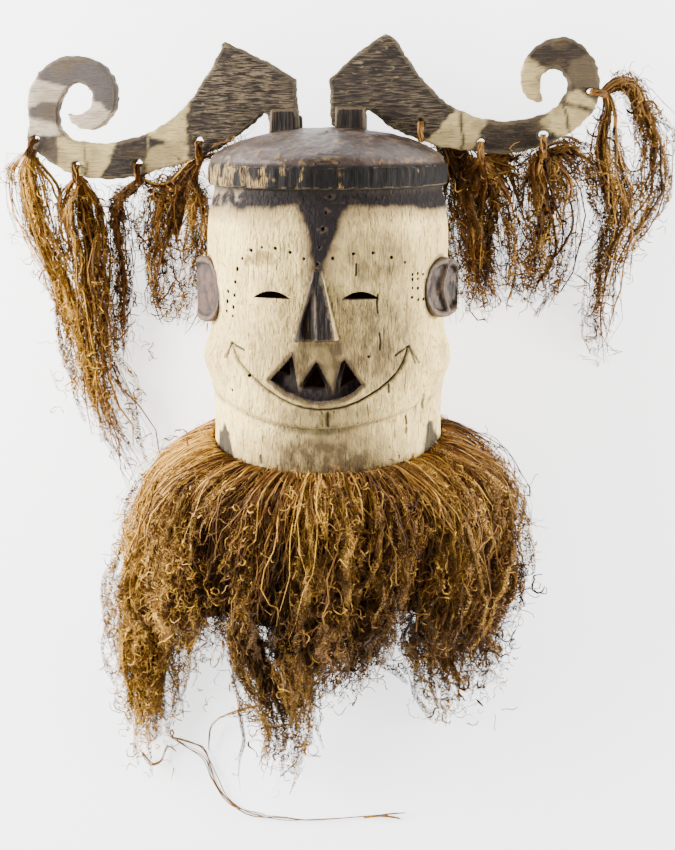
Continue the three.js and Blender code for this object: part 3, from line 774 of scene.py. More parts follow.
# Dirty patches, with painted shade over the middle and the right of the face.
color = coats(
    mixed(maths("MULTIPLY", attribute("stain"), stain), color, (0.088, 0.058, 0.025)),
    (scratches, 0.66, 0.72, 0.75, (0.09, 0.056, 0.024)),
    (pits, 0.67, 0.74, 0.8, (0.05, 0.03, 0.014)),
    (total(attribute("patch"), (grain((90, 120, 90), 6), 2.6)), 1.35, 2.1, 0.7, (0.14, 0.082, 0.03)),
    (total(attribute("mark"), rough_edge), -3.5, 0.5, 0.95, (0.013, 0.01, 0.009)),
    (dark, -17, 1.0, 0.8, (0.17, 0.11, 0.055)),
    (dark, -3.5, 3.0, 1.0, night),
)
# Painted shade in the grooves, the cracks and round the edge of the mouth.
color = mixed(attribute("soot"), color, (0.02, 0.013, 0.008))
relief = total(
    (brush, 0.5), (crumbs, 0.6), (ramp(pits, 0.6, 0.74), -0.35), (ramp(scratches, 0.6, 0.72), -0.5)
)
old_wood(color, (0.2, 0.14, 0.075), 0.16, 0.85, relief, 0.0032)

# The cap: violet-grey and satin on the dome; hatched, with ochre showing, on its edge.
tree = nodes_of(cap_wood)
fleck, hatch = grain((150, 110, 150), 6), grain((1000, 70, 1000), 4)
on_edge = ramp(along("Y"), origin.y + 0.309, origin.y + 0.3045)
color = coats(
    (0.06, 0.042, 0.036),
    (((26, 40, 26), 5), 0.4, 0.62, 1.0, (0.026, 0.016, 0.011)),
    (((60, 260, 60), 4), 0.52, 0.68, 0.45, (0.14, 0.1, 0.078)),
    (fleck, 0.58, 0.66, 0.8, (0.16, 0.095, 0.036)),
    (((420, 420, 420), 3), 0.6, 0.7, 0.7, (0.012, 0.008, 0.006)),
)
rim = coats((0.002, 0.0015, 0.0012), (hatch, 0.44, 0.64, 1.0, (0.01, 0.0065, 0.0045)))
ochre = total(ramp(along("X"), 0.03, -0.08, 0.22), grain((90, 50, 90), 5))
ochre = maths("MULTIPLY", ramp(ochre, 0.66, 0.78), ramp(hatch, 0.4, 0.58, 0.85))
color = mixed(on_edge, color, mixed(ochre, rim, (0.3, 0.19, 0.07)))
relief = total(fleck, (hatch, on_edge))
satin = old_wood(color, (0.24, 0.17, 0.09), 0.22, 0.42, relief, 0.0012, specular=0.14)
tree.links.new(total((on_edge, 0.4), 0.42), satin.inputs["Roughness"])

tree = nodes_of(post_wood)
streaks = grain((420, 30, 420), 4)
color = coats((0.005, 0.0035, 0.0026), (streaks, 0.42, 0.64, 1.0, (0.022, 0.013, 0.008)))
old_wood(color, (0.2, 0.14, 0.07), 0.3, 0.65, streaks, 0.0012)

tree = nodes_of(nose_wood)
streaks = grain((480, 40, 480), 4)
color = coats(
    (0.007, 0.005, 0.0045),
    (streaks, 0.45, 0.64, 1.0, (0.022, 0.014, 0.01)),
    (((300, 200, 300), 3), 0.6, 0.7, 0.5, (0.06, 0.036, 0.018)),
    (total(attribute("bare"), (streaks, 1.1)), 1.15, 1.7, 0.6, (0.075, 0.042, 0.022)),
)
old_wood(color, (0.2, 0.13, 0.065), 0.3, 0.5, streaks, 0.0011)

# The left ear is redder than the right one.
tree = nodes_of(ear_wood)
mottle = grain((110, 70, 110), 6)
left = coats((0.06, 0.029, 0.017), (mottle, 0.4, 0.62, 1.0, (0.02, 0.012, 0.008)))
right = coats((0.011, 0.007, 0.005), (mottle, 0.4, 0.6, 1.0, (0.07, 0.044, 0.029)))
color = mixed(ramp(along("X"), -0.02, 0.02), left, right)
# The pale rubbed edges here are rubbed wear and also painted highlight on the ridges, and the hollows get
# painted shade.
old_wood(color, (0.17, 0.12, 0.08), 0.34, 0.55, grain((260, 170, 260), 5), 0.0012)

# Inside the mouth: dark ledges at the front, brown and bare wood deeper in, and painted shade, nearly
# black, deepest in.
tree = nodes_of(mouth_wood)
fibre = grain((260, 120, 260), 4)
color = coats(
    (0.014, 0.01, 0.01),
    (fibre, 0.42, 0.64, 1.0, (0.04, 0.03, 0.03)),
    (attribute("deep"), 9.0, 12.5, 1.0, (0.1, 0.045, 0.026)),
    # Painted shade: nearly black deepest in.
    (attribute("deep"), 21.0, 33.0, 0.95, (0.006, 0.004, 0.003)),
)
old_wood(color, (0.2, 0.13, 0.07), 0.5, 0.75, fibre, 0.0008)

# The inside of the head is bare wood.
tree = nodes_of(bare_wood)
fibre = grain((200, 25, 200), 5)
color = coats((0.2, 0.12, 0.05), (fibre, 0.4, 0.62, 1.0, (0.08, 0.045, 0.02)))
old_wood(color, (0.3, 0.2, 0.1), 0.4, 0.85, fibre, 0.0012)

put_vertices(helmet.data, points, origin)
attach(helmet, "root")
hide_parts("helmet")


# Horn boards: flat sawn boards of one outline each, with holes for the ties. Their edges are
# rounded by wear, the grain stands out along them, and bands of old paint run across them.
def curve_through(points, count):
    """A smooth path of this many points through the given ones."""
    points = np.array(points, float)
    place = np.linspace(0, len(points) - 1, count)
    index = np.minimum(place.astype(int), len(points) - 2)
    t = (place - index)[:, None]
    before, start, end = points[np.maximum(index - 1, 0)], points[index], points[index + 1]
    after = points[np.minimum(index + 2, len(points) - 1)]
    cubic = 2 * before - 5 * start + 4 * end - after + t * (3 * (start - end) + after - before)
    return start + 0.5 * t * (end - before + t * cubic)


def outline_through(*parts):
    """A closed outline of corners, as they are given, and of curves with a number of points."""
    outline = []
    for count, points in parts:
        outline += curve_through(points, count).tolist() if count else points
    return [tuple(point) for point in outline]


board_front, board_back = -8.3, -23.7
left_outline = outline_through(
    (0, [(-60, 335.6), (-31, 339.5), (-31.8, 358.6), (-34.2, 388.5), (-57, 402.5)]),
    (70, [(-106.8, 426.4), (-123.8, 394.7), (-154.7, 355.6), (-197.2, 331.2), (-239.6, 324),
          (-271.3, 329.5), (-281.3, 344), (-280.8, 359.6), (-269.5, 380.9), (-256.8, 383.9),
          (-246.5, 376.8), (-246.3, 364.7), (-253.5, 354.5), (-266.2, 353)]),
    (0, [(-272.5, 354.5)]),
    (56, [(-268.6, 346.4), (-254, 337.2), (-234.9, 341.3), (-221.8, 357.6), (-219.1, 377.8),
          (-226.9, 396.9), (-242.4, 408), (-266.4, 412.1), (-287.6, 406.1), (-304.1, 391.1),
          (-313, 370.8), (-313.6, 340)]),
    (48, [(-316.1, 327.9), (-311, 319.7), (-283, 298.2), (-251.3, 288), (-214.1, 287.6),
          (-176.9, 296.5), (-134.6, 309.9), (-97.8, 328.3), (-64.3, 357.6)]),
)
right_outline = outline_through(
    (0, [(-0.4, 388.4), (1.1, 358.6), (1.6, 340.9), (36.4, 339), (36.6, 359)]),
    (90, [(39, 357.5), (56.8, 344.6), (72.2, 335.2), (88, 328.9), (113, 321.6), (143.5, 316.7),
          (173.9, 313.3), (204, 317.8), (228.9, 325.8), (256.3, 344.7), (270.5, 367.3),
          (269.6, 397.7), (257.1, 417.1), (238.1, 428.4), (212.5, 423.1), (197.9, 408.6),
          (192.4, 387.1), (199.8, 369.4), (214.9, 364.4)]),
    (62, [(215.9, 366.4), (212.5, 382.1), (218.1, 395.8), (232, 395.3), (240.3, 382.1),
          (232.8, 366.4), (218.2, 354.1), (178.3, 346.6), (148, 351.6), (120.6, 363.5),
          (92, 391.2), (66.4, 428.6)]),
    (0, [(57.3, 433.1), (26, 412.1)]),
)

# The bands of paint lie over each other in this order.
cream, chalk = (0.5, 0.375, 0.16), (0.55, 0.44, 0.31)
black, slate = (0.015, 0.011, 0.009), (0.045, 0.037, 0.035)
left_bands = [
    (black, [(-320, 440), (-146, 440), (-146, 280), (-320, 280)]),
    ((0.082, 0.068, 0.062), [(-320, 440), (-205, 440), (-205, 350), (-262, 330), (-320, 352)]),
    (cream, [(-284, 330), (-269, 334), (-257, 327), (-221, 329), (-226, 313), (-242, 284),
             (-260, 284), (-275, 288), (-286, 294), (-285, 313)]),
    (black, [(-253.5, 330), (-251.5, 284), (-253, 284), (-255, 330)]),
    (cream, [(-186, 336), (-176, 342), (-155, 357), (-144, 368), (-144, 300), (-154, 293),
             (-192, 286), (-189, 309)]),
    (black, [(-185, 331), (-165, 325), (-187, 317)]),
    (black, [(-143, 356), (-146, 356), (-146, 312), (-143, 312)]),
    (slate, [(-320, 331), (-303, 333), (-286, 334), (-284, 317), (-286, 290), (-304, 300),
             (-320, 315)]),
    (chalk, [(-320, 352), (-296, 347), (-283, 342), (-275, 333), (-288, 332), (-320, 334)]),
    (chalk, [(-314, 394), (-297, 387), (-270, 381), (-276, 372), (-276, 366), (-291, 366),
             (-305, 362), (-320, 358)]),
    (chalk, [(-248, 370), (-237, 364), (-226, 358), (-214, 352), (-222, 332), (-250, 328),
             (-275, 340), (-278, 356), (-260, 358), (-248, 357)]),
]
right_bands = [
    ((0.016, 0.011, 0.008), [(137, 440), (280, 440), (280, 300), (100, 300), (97, 327), (129, 360)]),
    (cream, [(95, 326), (113, 341), (131, 362), (160, 352), (153, 335), (142, 312), (105, 316)]),
    (black, [(131, 360), (135, 312), (138, 312), (134.5, 360)]),
    (cream, [(211, 347), (223, 357), (238, 362), (264, 357), (262, 343), (241, 329), (228, 334)]),
    (cream, [(242, 378), (250, 379), (261, 372), (272, 360), (264, 357), (237, 365)]),
    (black, [(235.5, 362), (238, 363), (244, 331), (241, 330)]),
    (black, [(237, 367), (238, 365), (270, 352), (271, 356)]),
    ((0.085, 0.062, 0.036),
     [(241, 405), (257, 411), (273, 394), (273, 379), (250, 379), (239, 384)]),
    (cream, [(198, 409), (218, 396), (211, 386), (220, 358), (204, 362), (190, 378), (188, 392)]),
]
tie_holes = {
    "tuft_left_1": (-305.9, 328), "tuft_left_2": (-263.7, 301.5), "tuft_left_3": (-198.9, 302.6),
    "tuft_left_4": (-134.3, 326.2), "tuft_right_1": (93.5, 345.6), "tuft_right_2": (154.5, 326),
    "tuft_right_3": (216.8, 333), "tuft_right_4": (262.3, 375.2),
}
horn_wood = bpy.data.materials.new("horn_wood")
tree = nodes_of(horn_wood)
lines, fine = grain((66, 1000, 1000), 4), grain((220, 1700, 1700), 3)
bare_board_wood = coats(
    (0.013, 0.009, 0.007),
    (lines, 0.44, 0.6, 1.0, (0.16, 0.117, 0.066)),
    (fine, 0.5, 0.64, 0.6, (0.015, 0.01, 0.008)),
    (((28, 60, 60), 5), 0.46, 0.66, 0.6, (0.018, 0.012, 0.01)),
    # The bare wood of the right board is darker.
    (along("X"), -0.01, 0.01, 0.35, (0.014, 0.01, 0.008)),
    (((90, 300, 300), 5), 0.6, 0.7, 0.5, (0.28, 0.21, 0.12)),
)
painted = coats(
    node("Attribute", attribute_name="coat").outputs["Color"],
    (((38, 55, 55), 5), 0.46, 0.64, 0.45, (0.11, 0.072, 0.032)),
    (lines, 0.5, 0.66, 0.5, (0.07, 0.046, 0.024)),
    (fine, 0.58, 0.7, 0.6, (0.045, 0.03, 0.018)),
    (fine, 0.42, 0.32, 0.14, (0.32, 0.24, 0.13)),
)
color = mixed(attribute("raw"), painted, bare_board_wood)
old_wood(color, (0.3, 0.23, 0.12), 0.16, 0.68, total(lines, (fine, 0.5)), 0.0018)

for side, outline, bands in (("left", left_outline, left_bands), ("right", right_outline, right_bands)):
    horn = flat_solid(outline, board_back, board_front, horn_wood)
    horn.name = "horn_board_" + side
    drills = []
    for name, (hole_x, hole_y) in tie_holes.items():
        if side in name:
            place = (hole_x / 1000, hole_y / 1000, -0.016)
            bpy.ops.mesh.primitive_cylinder_add(vertices=20, radius=0.0041, depth=0.05, location=place)
            drills.append(bpy.context.object)
    combine(horn, drills, "DIFFERENCE")
    apply_modifier(horn, "REMESH", mode="VOXEL", voxel_size=0.0023)
    apply_modifier(horn, "SMOOTH", iterations=2, factor=0.5)
    select_only(horn)
    bpy.ops.object.shade_smooth()
    points, normals = read(horn.data.vertices, "co") * 1000, read(horn.data.vertices, "normal")
    rise = 0.16 * noise(points, (0.03, 0.42, 0.42), 30) + 0.5 * noise(points, (0.05, 0.07, 0.07), 31)
    rise += smoothstep(0.9, 0.3, abs(normals[:, 2])) * 1.5 * noise(points, (0.16, 0.3, 0.1), 32)
    points += normals * (rise - 0.35)[:, None]
    # The edges of the bands are shaken by coarse and by fine noise.
    shaken = points[:, :2]
    for amount, scale, seed in ((2.4, (0.1, 0.16, 0.16), 33), (1.5, (0.22, 0.45, 0.45), 35)):
        shifts = [noise(points, scale, seed + axis) for axis in (0, 1)]
        shaken = shaken + amount * np.stack(shifts, 1)
    paints = np.ones((len(points), 4))
    paints[:, :3] = (0.03, 0.022, 0.018)
    raw = np.ones(len(points))
    for color, band in bands:
        share = smoothstep(-1.6, 1.6, inside_distance(shaken, band))[:, None]
        paints[:, :3] = paints[:, :3] * (1 - share) + np.array(color) * share
        raw *= 1 - share[:, 0] * 0.85
    coat = horn.data.attributes.new("coat", "FLOAT_COLOR", "POINT")
    coat.data.foreach_set("color", paints.ravel())
    put_attribute(horn.data, "raw", raw)
    put_attribute(horn.data, "worn", bends(horn.data, 1))
    put_attribute(horn.data, "sunk", bends(horn.data, -1))
    put_vertices(horn.data, points, origin)
    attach(horn, "root")
    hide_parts("horn_" + side)


# Raffia: thin fibres laid as three-sided tubes along paths. The tufts come first. Each goes
# through its hole in the horn board, is tied, and drops to the floor and lies there in a tangle.
random = np.random.default_rng(7)
raffia = bpy.data.materials.new("raffia")
matted_fibre_and_shade = bpy.data.materials.new("matted_fibre_and_shade")
frayed_mat = bpy.data.materials.new("frayed_mat")


def unit(vectors, least=1e-9):
    return vectors / np.maximum(np.linalg.norm(vectors, axis=-1, keepdims=True), least)


# A few fibres are flat ribbons, and so are all those over one half width. Those over a larger
# one are thin patches of matted fibre.
ribbon_from, patch_from = 1.3, 3
ribbon_flat, patch_flat = 0.16, 0.02


def fibres(name, groups, cores=(), core_tone=0.2):
    """One mesh of fibres. Each group is paths (fibre, step, xyz) in millimetres, half width and
    how pale each fibre is. Each core is a matted lump (ring, side, xyz)."""
    corners, faces, sizes, tones, slots = [], [], [], [], []

    def add_tubes(rings, tone, slot):
        """Closed tubes (tube, ring, side, xyz), with the tone and the material of each."""
        count, steps, sides, _ = rings.shape
        start = sum(map(len, corners)) + np.arange(count)[:, None, None] * steps * sides
        row = start + np.arange(steps - 1)[None, :, None] * sides
        a = np.arange(sides)
        b = (a + 1) % sides
        quads = np.stack([row + a, row + b, row + sides + b, row + sides + a], 3).reshape(-1, 4)
        first, last = start[:, 0] + a[::-1], start[:, 0] + (steps - 1) * sides + a
        corners.append(rings.reshape(-1, 3))
        faces.extend([quads.ravel(), first.ravel(), last.ravel()])
        sizes.extend([np.full(len(quads), 4), np.full(2 * count, sides)])
        slots.extend([np.repeat(slot, (steps - 1) * sides), np.tile(slot, 2)])
        tones.append(np.repeat(tone, steps * sides))

    for paths, half, tone in groups:
        count, steps, _ = paths.shape
        paths = paths.copy()
        paths[:, :, 2] = np.maximum(paths[:, :, 2], floor_level + 0.8)
        # Fibres that stray far to the right or high up are held back.
        for axis, most in ((0, 350), (2, 171)):
            paths[:, :, axis] -= 0.8 * np.maximum(paths[:, :, axis] - most, 0)
        way = unit(np.gradient(paths, axis=1))
        lean = random.normal(size=(count, 1, 3))
        side = unit(np.cross(way, lean + 0.4 * random.normal(size=(count, steps, 3)).cumsum(1) / steps))
        other = np.cross(way, side)
        wide = (random.random(count) < 0.12) | (half > ribbon_from)
        patch = half > patch_from
        flat = np.where(wide, ribbon_flat, random.uniform(0.45, 1.0, count))
        flat = np.where(patch, patch_flat, flat)[:, None, None]
        half = np.where(patch, half * patch_flat**0.5, half)
        taper = np.interp(np.linspace(0, 1, steps), [0, 0.05, 0.8, 1], [0.8, 1, 0.9, 0.35])
        reach = half[:, None, None] * taper[None, :, None]
        ring = [
            paths + reach * (math.cos(turn) * side / flat**0.5 + math.sin(turn) * other * flat**0.5)
            for turn in (0.5, 2.6, 4.7)
        ]
        add_tubes(np.stack(ring, 2), tone, patch * 2)
    for rings in cores:
        add_tubes(rings[None], [core_tone], [1])
    corners, faces, sizes = [np.concatenate(parts) for parts in (corners, faces, sizes)]
    corners[:, 2] = np.maximum(corners[:, 2], floor_level + 0.15)
    starts = np.concatenate([[0], sizes.cumsum()[:-1]])
    mesh = bpy.data.meshes.new(name)
    mesh.vertices.add(len(corners))
    mesh.loops.add(len(faces))
    mesh.polygons.add(len(sizes))
    mesh.loops.foreach_set("vertex_index", faces.astype(np.int32))
    mesh.polygons.foreach_set("loop_start", starts.astype(np.int32))
    mesh.polygons.foreach_set("use_smooth", np.ones(len(sizes), bool))
    put_vertices(mesh, corners, origin)
    mesh.update(calc_edges=True)
    put_attribute(mesh, "tone", np.concatenate(tones))
    for material in (raffia, matted_fibre_and_shade, frayed_mat):
        mesh.materials.append(material)
    mesh.polygons.foreach_set("material_index", np.concatenate(slots).astype(np.int32))
    made = link(name, mesh)
    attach(made, "root")
    return made


def shake(paths, amounts, wave, seed):
    """Bends paths by smooth noise: how far at each step, and the length of a wave, both in
    millimetres."""
    count, steps, _ = paths.shape
    apart = np.repeat(random.uniform(0, 900, (count, 3)), steps, axis=0)
    for axis in range(3):
        bent = noise(paths.reshape(-1, 3) * 0.55 + apart, 1 / wave, seed + axis)
        paths[:, :, axis] += bent.reshape(count, steps) * amounts
    return paths


def frizz_on(paths, count, lengths, first, bend, sag):
    """Short ends that leave the given fibres, from the step first on, and wander off. Some bend
    on in loops, and the others are crimped to and fro. Also gives the fibre that each leaves."""
    steps = 5
    pick = random.integers(0, len(paths), count)
    span = paths.shape[1] - 2 - first
    at = first + (span * random.beta(1.5, 1.1, count)).astype(int)
    way = unit(paths[pick, at + 1] - paths[pick, at], 1e-6)
    steady = np.where(random.random(count) < 0.45, 0.85, 0.2)[:, None]
    step = random.uniform(*lengths, count)[:, None] / steps
    way = unit(way + 1.3 * random.normal(size=(count, 3)) * (1, 1, 0.8))
    spin = random.normal(size=(count, 3))
    made = [paths[pick, at]]
    for _ in range(steps):
        spin = steady * spin + np.sqrt(1 - steady**2) * random.normal(size=(count, 3))
        way = unit(way + (np.cross(spin, way) * bend - np.array([0, 0, sag])) * step)
        made.append(made[-1] + way * step)
    return np.stack(made, 1), pick


def patches_on(paths, count, first):
    """Short parts of the given paths, from the step first on, and the fibre that each is from."""
    steps = 7
    pick = random.integers(0, len(paths), count)
    start = random.integers(first, paths.shape[1] - steps, count)
    return paths[pick[:, None], start[:, None] + np.arange(steps)[None, :]], pick


def strands(guides, chosen, steps, girth, ends, wild, sway=0.0):
    """Fibres that follow guide paths, each the guide that it is given, round which it twists a
    little, up to its end, where 1 is the end of the guide. The girth is the half width of a
    strand at places from 0 to 1, the sway is how far fibres stray to the side in all, and wild
    is how far they are shaken."""
    count, points = len(chosen), guides.shape[1]
    way = unit(np.gradient(guides, axis=1))
    across = unit(np.cross(way, (0.0, 0.3, 1.0)))
    through = np.cross(across, way)
    place = np.linspace(0, 1, steps)[None, :] * ends[:, None]
    spot = np.minimum(place, 1) * (points - 1)
    low = np.minimum(spot.astype(int), points - 2)
    part = (spot - low)[:, :, None]
    mine = chosen[:, None]

    def at(values):
        return values[mine, low] * (1 - part) + values[mine, low + 1] * part

    turn = random.uniform(0, 2 * math.pi, (count, 1)) + random.normal(0, 1.6, (count, 1)) * place
    away = np.sqrt(random.uniform(0, 1, (count, 1))) * np.interp(place, *girth)
    stray = sway * random.normal(size=(count, 1)) * smoothstep(0.04, 0.9, place)
    paths = at(guides) + at(across) * (away * np.cos(turn) + stray)[:, :, None]
    paths += at(through) * (away * np.sin(turn))[:, :, None]
    beyond = np.maximum(place - 1, 0)[:, :, None] * (points - 1)
    paths += beyond * (guides[chosen, -1] - guides[chosen, -2])[:, None, :]
    amounts = wild * smoothstep(0.03, 0.5, place)
    paths = shake(paths, amounts, wave=32, seed=40)
    return shake(paths, amounts * 0.75, wave=12, seed=43)


def lump(dense, way, across, share):
    """The rings of a matted core along a line of x, y, z, half width and half depth."""
    count, sides = len(dense), 14
    through = np.cross(way, across)[:, None]
    turn = np.linspace(0, 2 * math.pi, sides, endpoint=False)[None, :, None]
    fat = share * np.interp(np.linspace(0, 1, count), [0, 0.12, 0.7, 1], [0.25, 1, 0.8, 0.08])
    line, wide, deep = dense[:, None, :3], dense[:, None, 3:4], dense[:, None, 4:5]
    rings = np.cos(turn) * across[:, None] * wide + np.sin(turn) * through * deep
    uneven = 1 + 0.6 * noise((line + rings).reshape(-1, 3), 1 / 14, 90).reshape(count, sides, 1)
    return line + rings * fat[:, None, None] * uneven


def bundle(stations, count):
    """Guides that follow the stations of a tuft, and the rings of a matted core along the first
    part of them."""
    stations = np.array(stations, float)
    stations[:, 2] += floor_level
    dense = curve_through(stations, 40)
    dense[:, 3:] = np.maximum(dense[:, 3:], 1.5)
    way = unit(np.gradient(dense[:, :3], axis=0))
    across = unit(np.cross((0, 0, 1), way))
    through = np.cross(way, across)
    place = np.linspace(0, 1, len(dense))[None, :]
    turn = np.linspace(0, 2 * math.pi, count, endpoint=False)[:, None]
    turn = turn + random.normal(0, 0.5, (count, 1)) + 1.3 * random.normal(size=(count, 1)) * place
    away = np.sqrt(random.uniform(0.05, 1, (count, 1)))
    guides = dense[None, :, :3] + across * (away * np.cos(turn) * dense[:, 3])[:, :, None]
    guides = guides + through * (away * np.sin(turn) * dense[:, 4])[:, :, None]
    guides = shake(guides, 11.7 * smoothstep(0.05, 0.5, place), wave=70, seed=50)
    matted = int(0.55 * len(dense))
    return guides, lump(dense[:matted], way[:matted], across[:matted], share=0.32)


def varied(tone, spread, count):
    """How pale so many fibres are, scattered round a tone."""
    return np.clip(tone + random.normal(0, spread, count), 0, 1)


# How pale each tuft is, and the stations of its parts: x, y, height over the floor, half width
# and half depth.
tufts = {
    "tuft_left_1": (0.95, [
        [(-315, 312, 110, 6, 5), (-320, 302, 105, 13, 9), (-324, 280, 92, 24, 13), (-326, 236, 64, 25, 16),
         (-313, 185, 38, 21, 16), (-300, 140, 26, 18, 14), (-291, 80, 16, 17, 13), (-286, 40, 10, 14, 9),
         (-284, 8, 6, 9, 5)]]),
    "tuft_left_2": (0.62, [
        [(-264, 286, 110, 6, 5), (-266, 274, 102, 15, 9), (-267, 256, 91, 24, 12), (-268, 215, 60, 25, 16),
         (-271, 160, 30, 20, 17), (-268, 95, 19, 20, 15), (-258, 36, 15, 22, 12), (-244, -10, 11, 17, 8),
         (-232, -62, 6, 8, 4)]]),
    "tuft_left_3": (0.35, [
        [(-200, 284, 110, 5, 5), (-212, 274, 103, 7, 6), (-228, 260, 86, 8, 8), (-238, 222, 54, 10, 9),
         (-242, 170, 24, 10, 10), (-248, 118, 11, 12, 8), (-246, 80, 7, 10, 5)],
        [(-198, 286, 108, 4, 4), (-180, 280, 104, 6, 6), (-158, 284, 104, 6, 6), (-140, 300, 108, 4, 4)]]),
    "tuft_left_4": (0.38, [
        [(-136, 305, 112, 4, 5), (-150, 290, 101, 13, 9), (-160, 266, 87, 30, 12), (-172, 226, 58, 38, 18),
         (-180, 184, 32, 37, 18), (-178, 150, 20, 34, 14), (-176, 122, 9, 26, 7)],
        [(-138, 306, 110, 4, 4), (-122, 312, 112, 5, 4), (-104, 322, 116, 4, 4), (-92, 334, 120, 3, 3)],
        [(-150, 290, 98, 5, 5), (-168, 276, 88, 8, 6), (-192, 262, 76, 12, 8), (-208, 226, 48, 14, 10),
         (-214, 190, 26, 10, 8)]]),
    "tuft_right_1": (0.3, [
        [(93.5, 346, 101, 5, 5), (113, 334, 97, 9, 6), (133, 304, 84, 18, 9), (137, 262, 66, 24, 14),
         (143, 208, 38, 26, 17), (146, 165, 18, 24, 13), (148, 138, 8, 14, 6)]]),
    "tuft_right_2": (0.36, [
        [(155, 309, 110, 6, 5), (160, 300, 101, 14, 8), (168, 276, 84, 26, 12), (174, 222, 50, 30, 17),
         (178, 172, 24, 26, 16), (180, 146, 12, 16, 8)],
        [(158, 306, 104, 5, 4), (178, 302, 100, 12, 6), (200, 296, 96, 14, 7), (214, 306, 104, 6, 5)]]),
    "tuft_right_3": (0.36, [
        [(217, 315, 110, 6, 5), (216, 300, 101, 20, 9), (216, 268, 84, 34, 13), (218, 222, 54, 34, 17),
         (214, 186, 30, 28, 15), (204, 158, 12, 18, 8)],
        [(220, 314, 108, 5, 4), (240, 318, 102, 9, 7), (262, 308, 94, 14, 9), (278, 284, 78, 16, 12),
         (284, 256, 60, 14, 12)]]),
    "tuft_right_4": (0.42, [
        [(275.5, 374, 116, 5, 6), (290, 384, 112, 9, 7), (306, 380, 106, 10, 8), (318, 352, 96, 11, 9),
         (331, 318, 84, 14, 11), (332, 276, 62, 17, 13), (318, 240, 42, 20, 13), (302, 206, 24, 16, 12),
         (294, 160, 10, 10, 8)],
        [(278, 374, 112, 4, 5), (283, 356, 104, 9, 7), (280, 326, 92, 16, 9), (286, 290, 74, 20, 12),
         (296, 252, 54, 20, 13), (290, 206, 32, 16, 12), (284, 160, 18, 12, 9), (286, 110, 8, 7, 5),
         (290, 84, 5, 3, 3)]]),
}
# The outer ties leave the board another way than down, and past an edge nearer or further off.
tie_ways = {"tuft_left_1": (-0.5, -0.866, 13.5), "tuft_right_4": (0.99, -0.14, 11)}

tree = nodes_of(raffia)
tone = attribute("tone")
color = coats(
    (0.022, 0.008, 0.0025),
    (tone, 0.0, 0.5, 1.0, (0.17, 0.07, 0.012)),
    (tone, 0.5, 1.0, 1.0, (0.56, 0.3, 0.04)),
    (((120, 120, 120), 3), 0.5, 0.7, 0.55, (0.08, 0.03, 0.008)),
)
surface(color, 0.6, 0.15)

# Old matted fibre, dark as painted shade between the strands: a dark mass with a net of paler threads,
# warped so that none runs straight.
tree = nodes_of(matted_fibre_and_shade)
where = node("TexCoord").outputs["Object"]
warp = node("TexNoise", {"Vector": where, "Scale": 90.0, "Detail": 3.0}).outputs["Color"]
warp = node("VectorMath", {0: warp, "Scale": 0.022}, operation="SCALE").outputs[0]
where = node("VectorMath", {0: where, 1: warp}, operation="ADD").outputs[0]
threads = []
for scale in ((260, 120, 260), (480, 230, 480)):
    stretched = node("Mapping", {"Vector": where, "Scale": scale}).outputs[0]
    cells = node("TexVoronoi", {"Vector": stretched, "Scale": 1.0}, feature="DISTANCE_TO_EDGE")
    threads.append(ramp(cells.outputs["Distance"], 0.14, 0.03))
net = maths("MAXIMUM", threads[0], maths("MULTIPLY", threads[1], 0.7))
pale_thread = mixed(attribute("tone"), (0.1, 0.042, 0.008), (0.46, 0.24, 0.05))
color = coats(
    mixed(net, (0.008, 0.0035, 0.0012), pale_thread),
    (((30, 30, 30), 4), 0.45, 0.65, 0.8, (0.012, 0.005, 0.002)),
)
surface(color, 0.8, 0.1)
emboss(net, 0.002)

# The same fibre in thin patches that can be seen through: threads that wind to and fro.
tree = nodes_of(frayed_mat)
where = node("TexCoord").outputs["Object"]
threads = []
for scale, turns in (((75, 36, 75), 15), ((95, 85, 95), 12), ((60, 120, 60), 11)):
    shifted = {"Vector": where, "Scale": scale, "Location": (turns, 0, 0)}
    stretched = node("Mapping", shifted).outputs[0]
    field = node("TexNoise", {"Vector": stretched, "Scale": 1.0, "Detail": 1.0}).outputs["Fac"]
    winding = maths("PINGPONG", maths("MULTIPLY", field, turns), 0.5)
    threads.append(ramp(winding, 0.1, 0.065))
tone = attribute("tone")
dark_thread = mixed(tone, (0.03, 0.012, 0.003), (0.26, 0.12, 0.018))
pale_thread = mixed(tone, (0.13, 0.055, 0.009), (0.66, 0.37, 0.05))
color = coats(
    mixed(threads[0], dark_thread, pale_thread),
    (((60, 60, 60), 3), 0.47, 0.65, 0.5, (0.06, 0.023, 0.005)),
)
solid = maths("MAXIMUM", maths("MAXIMUM", threads[0], threads[1]), threads[2])
tree.links.new(solid, surface(color, 0.7, 0.12).inputs["Alpha"])

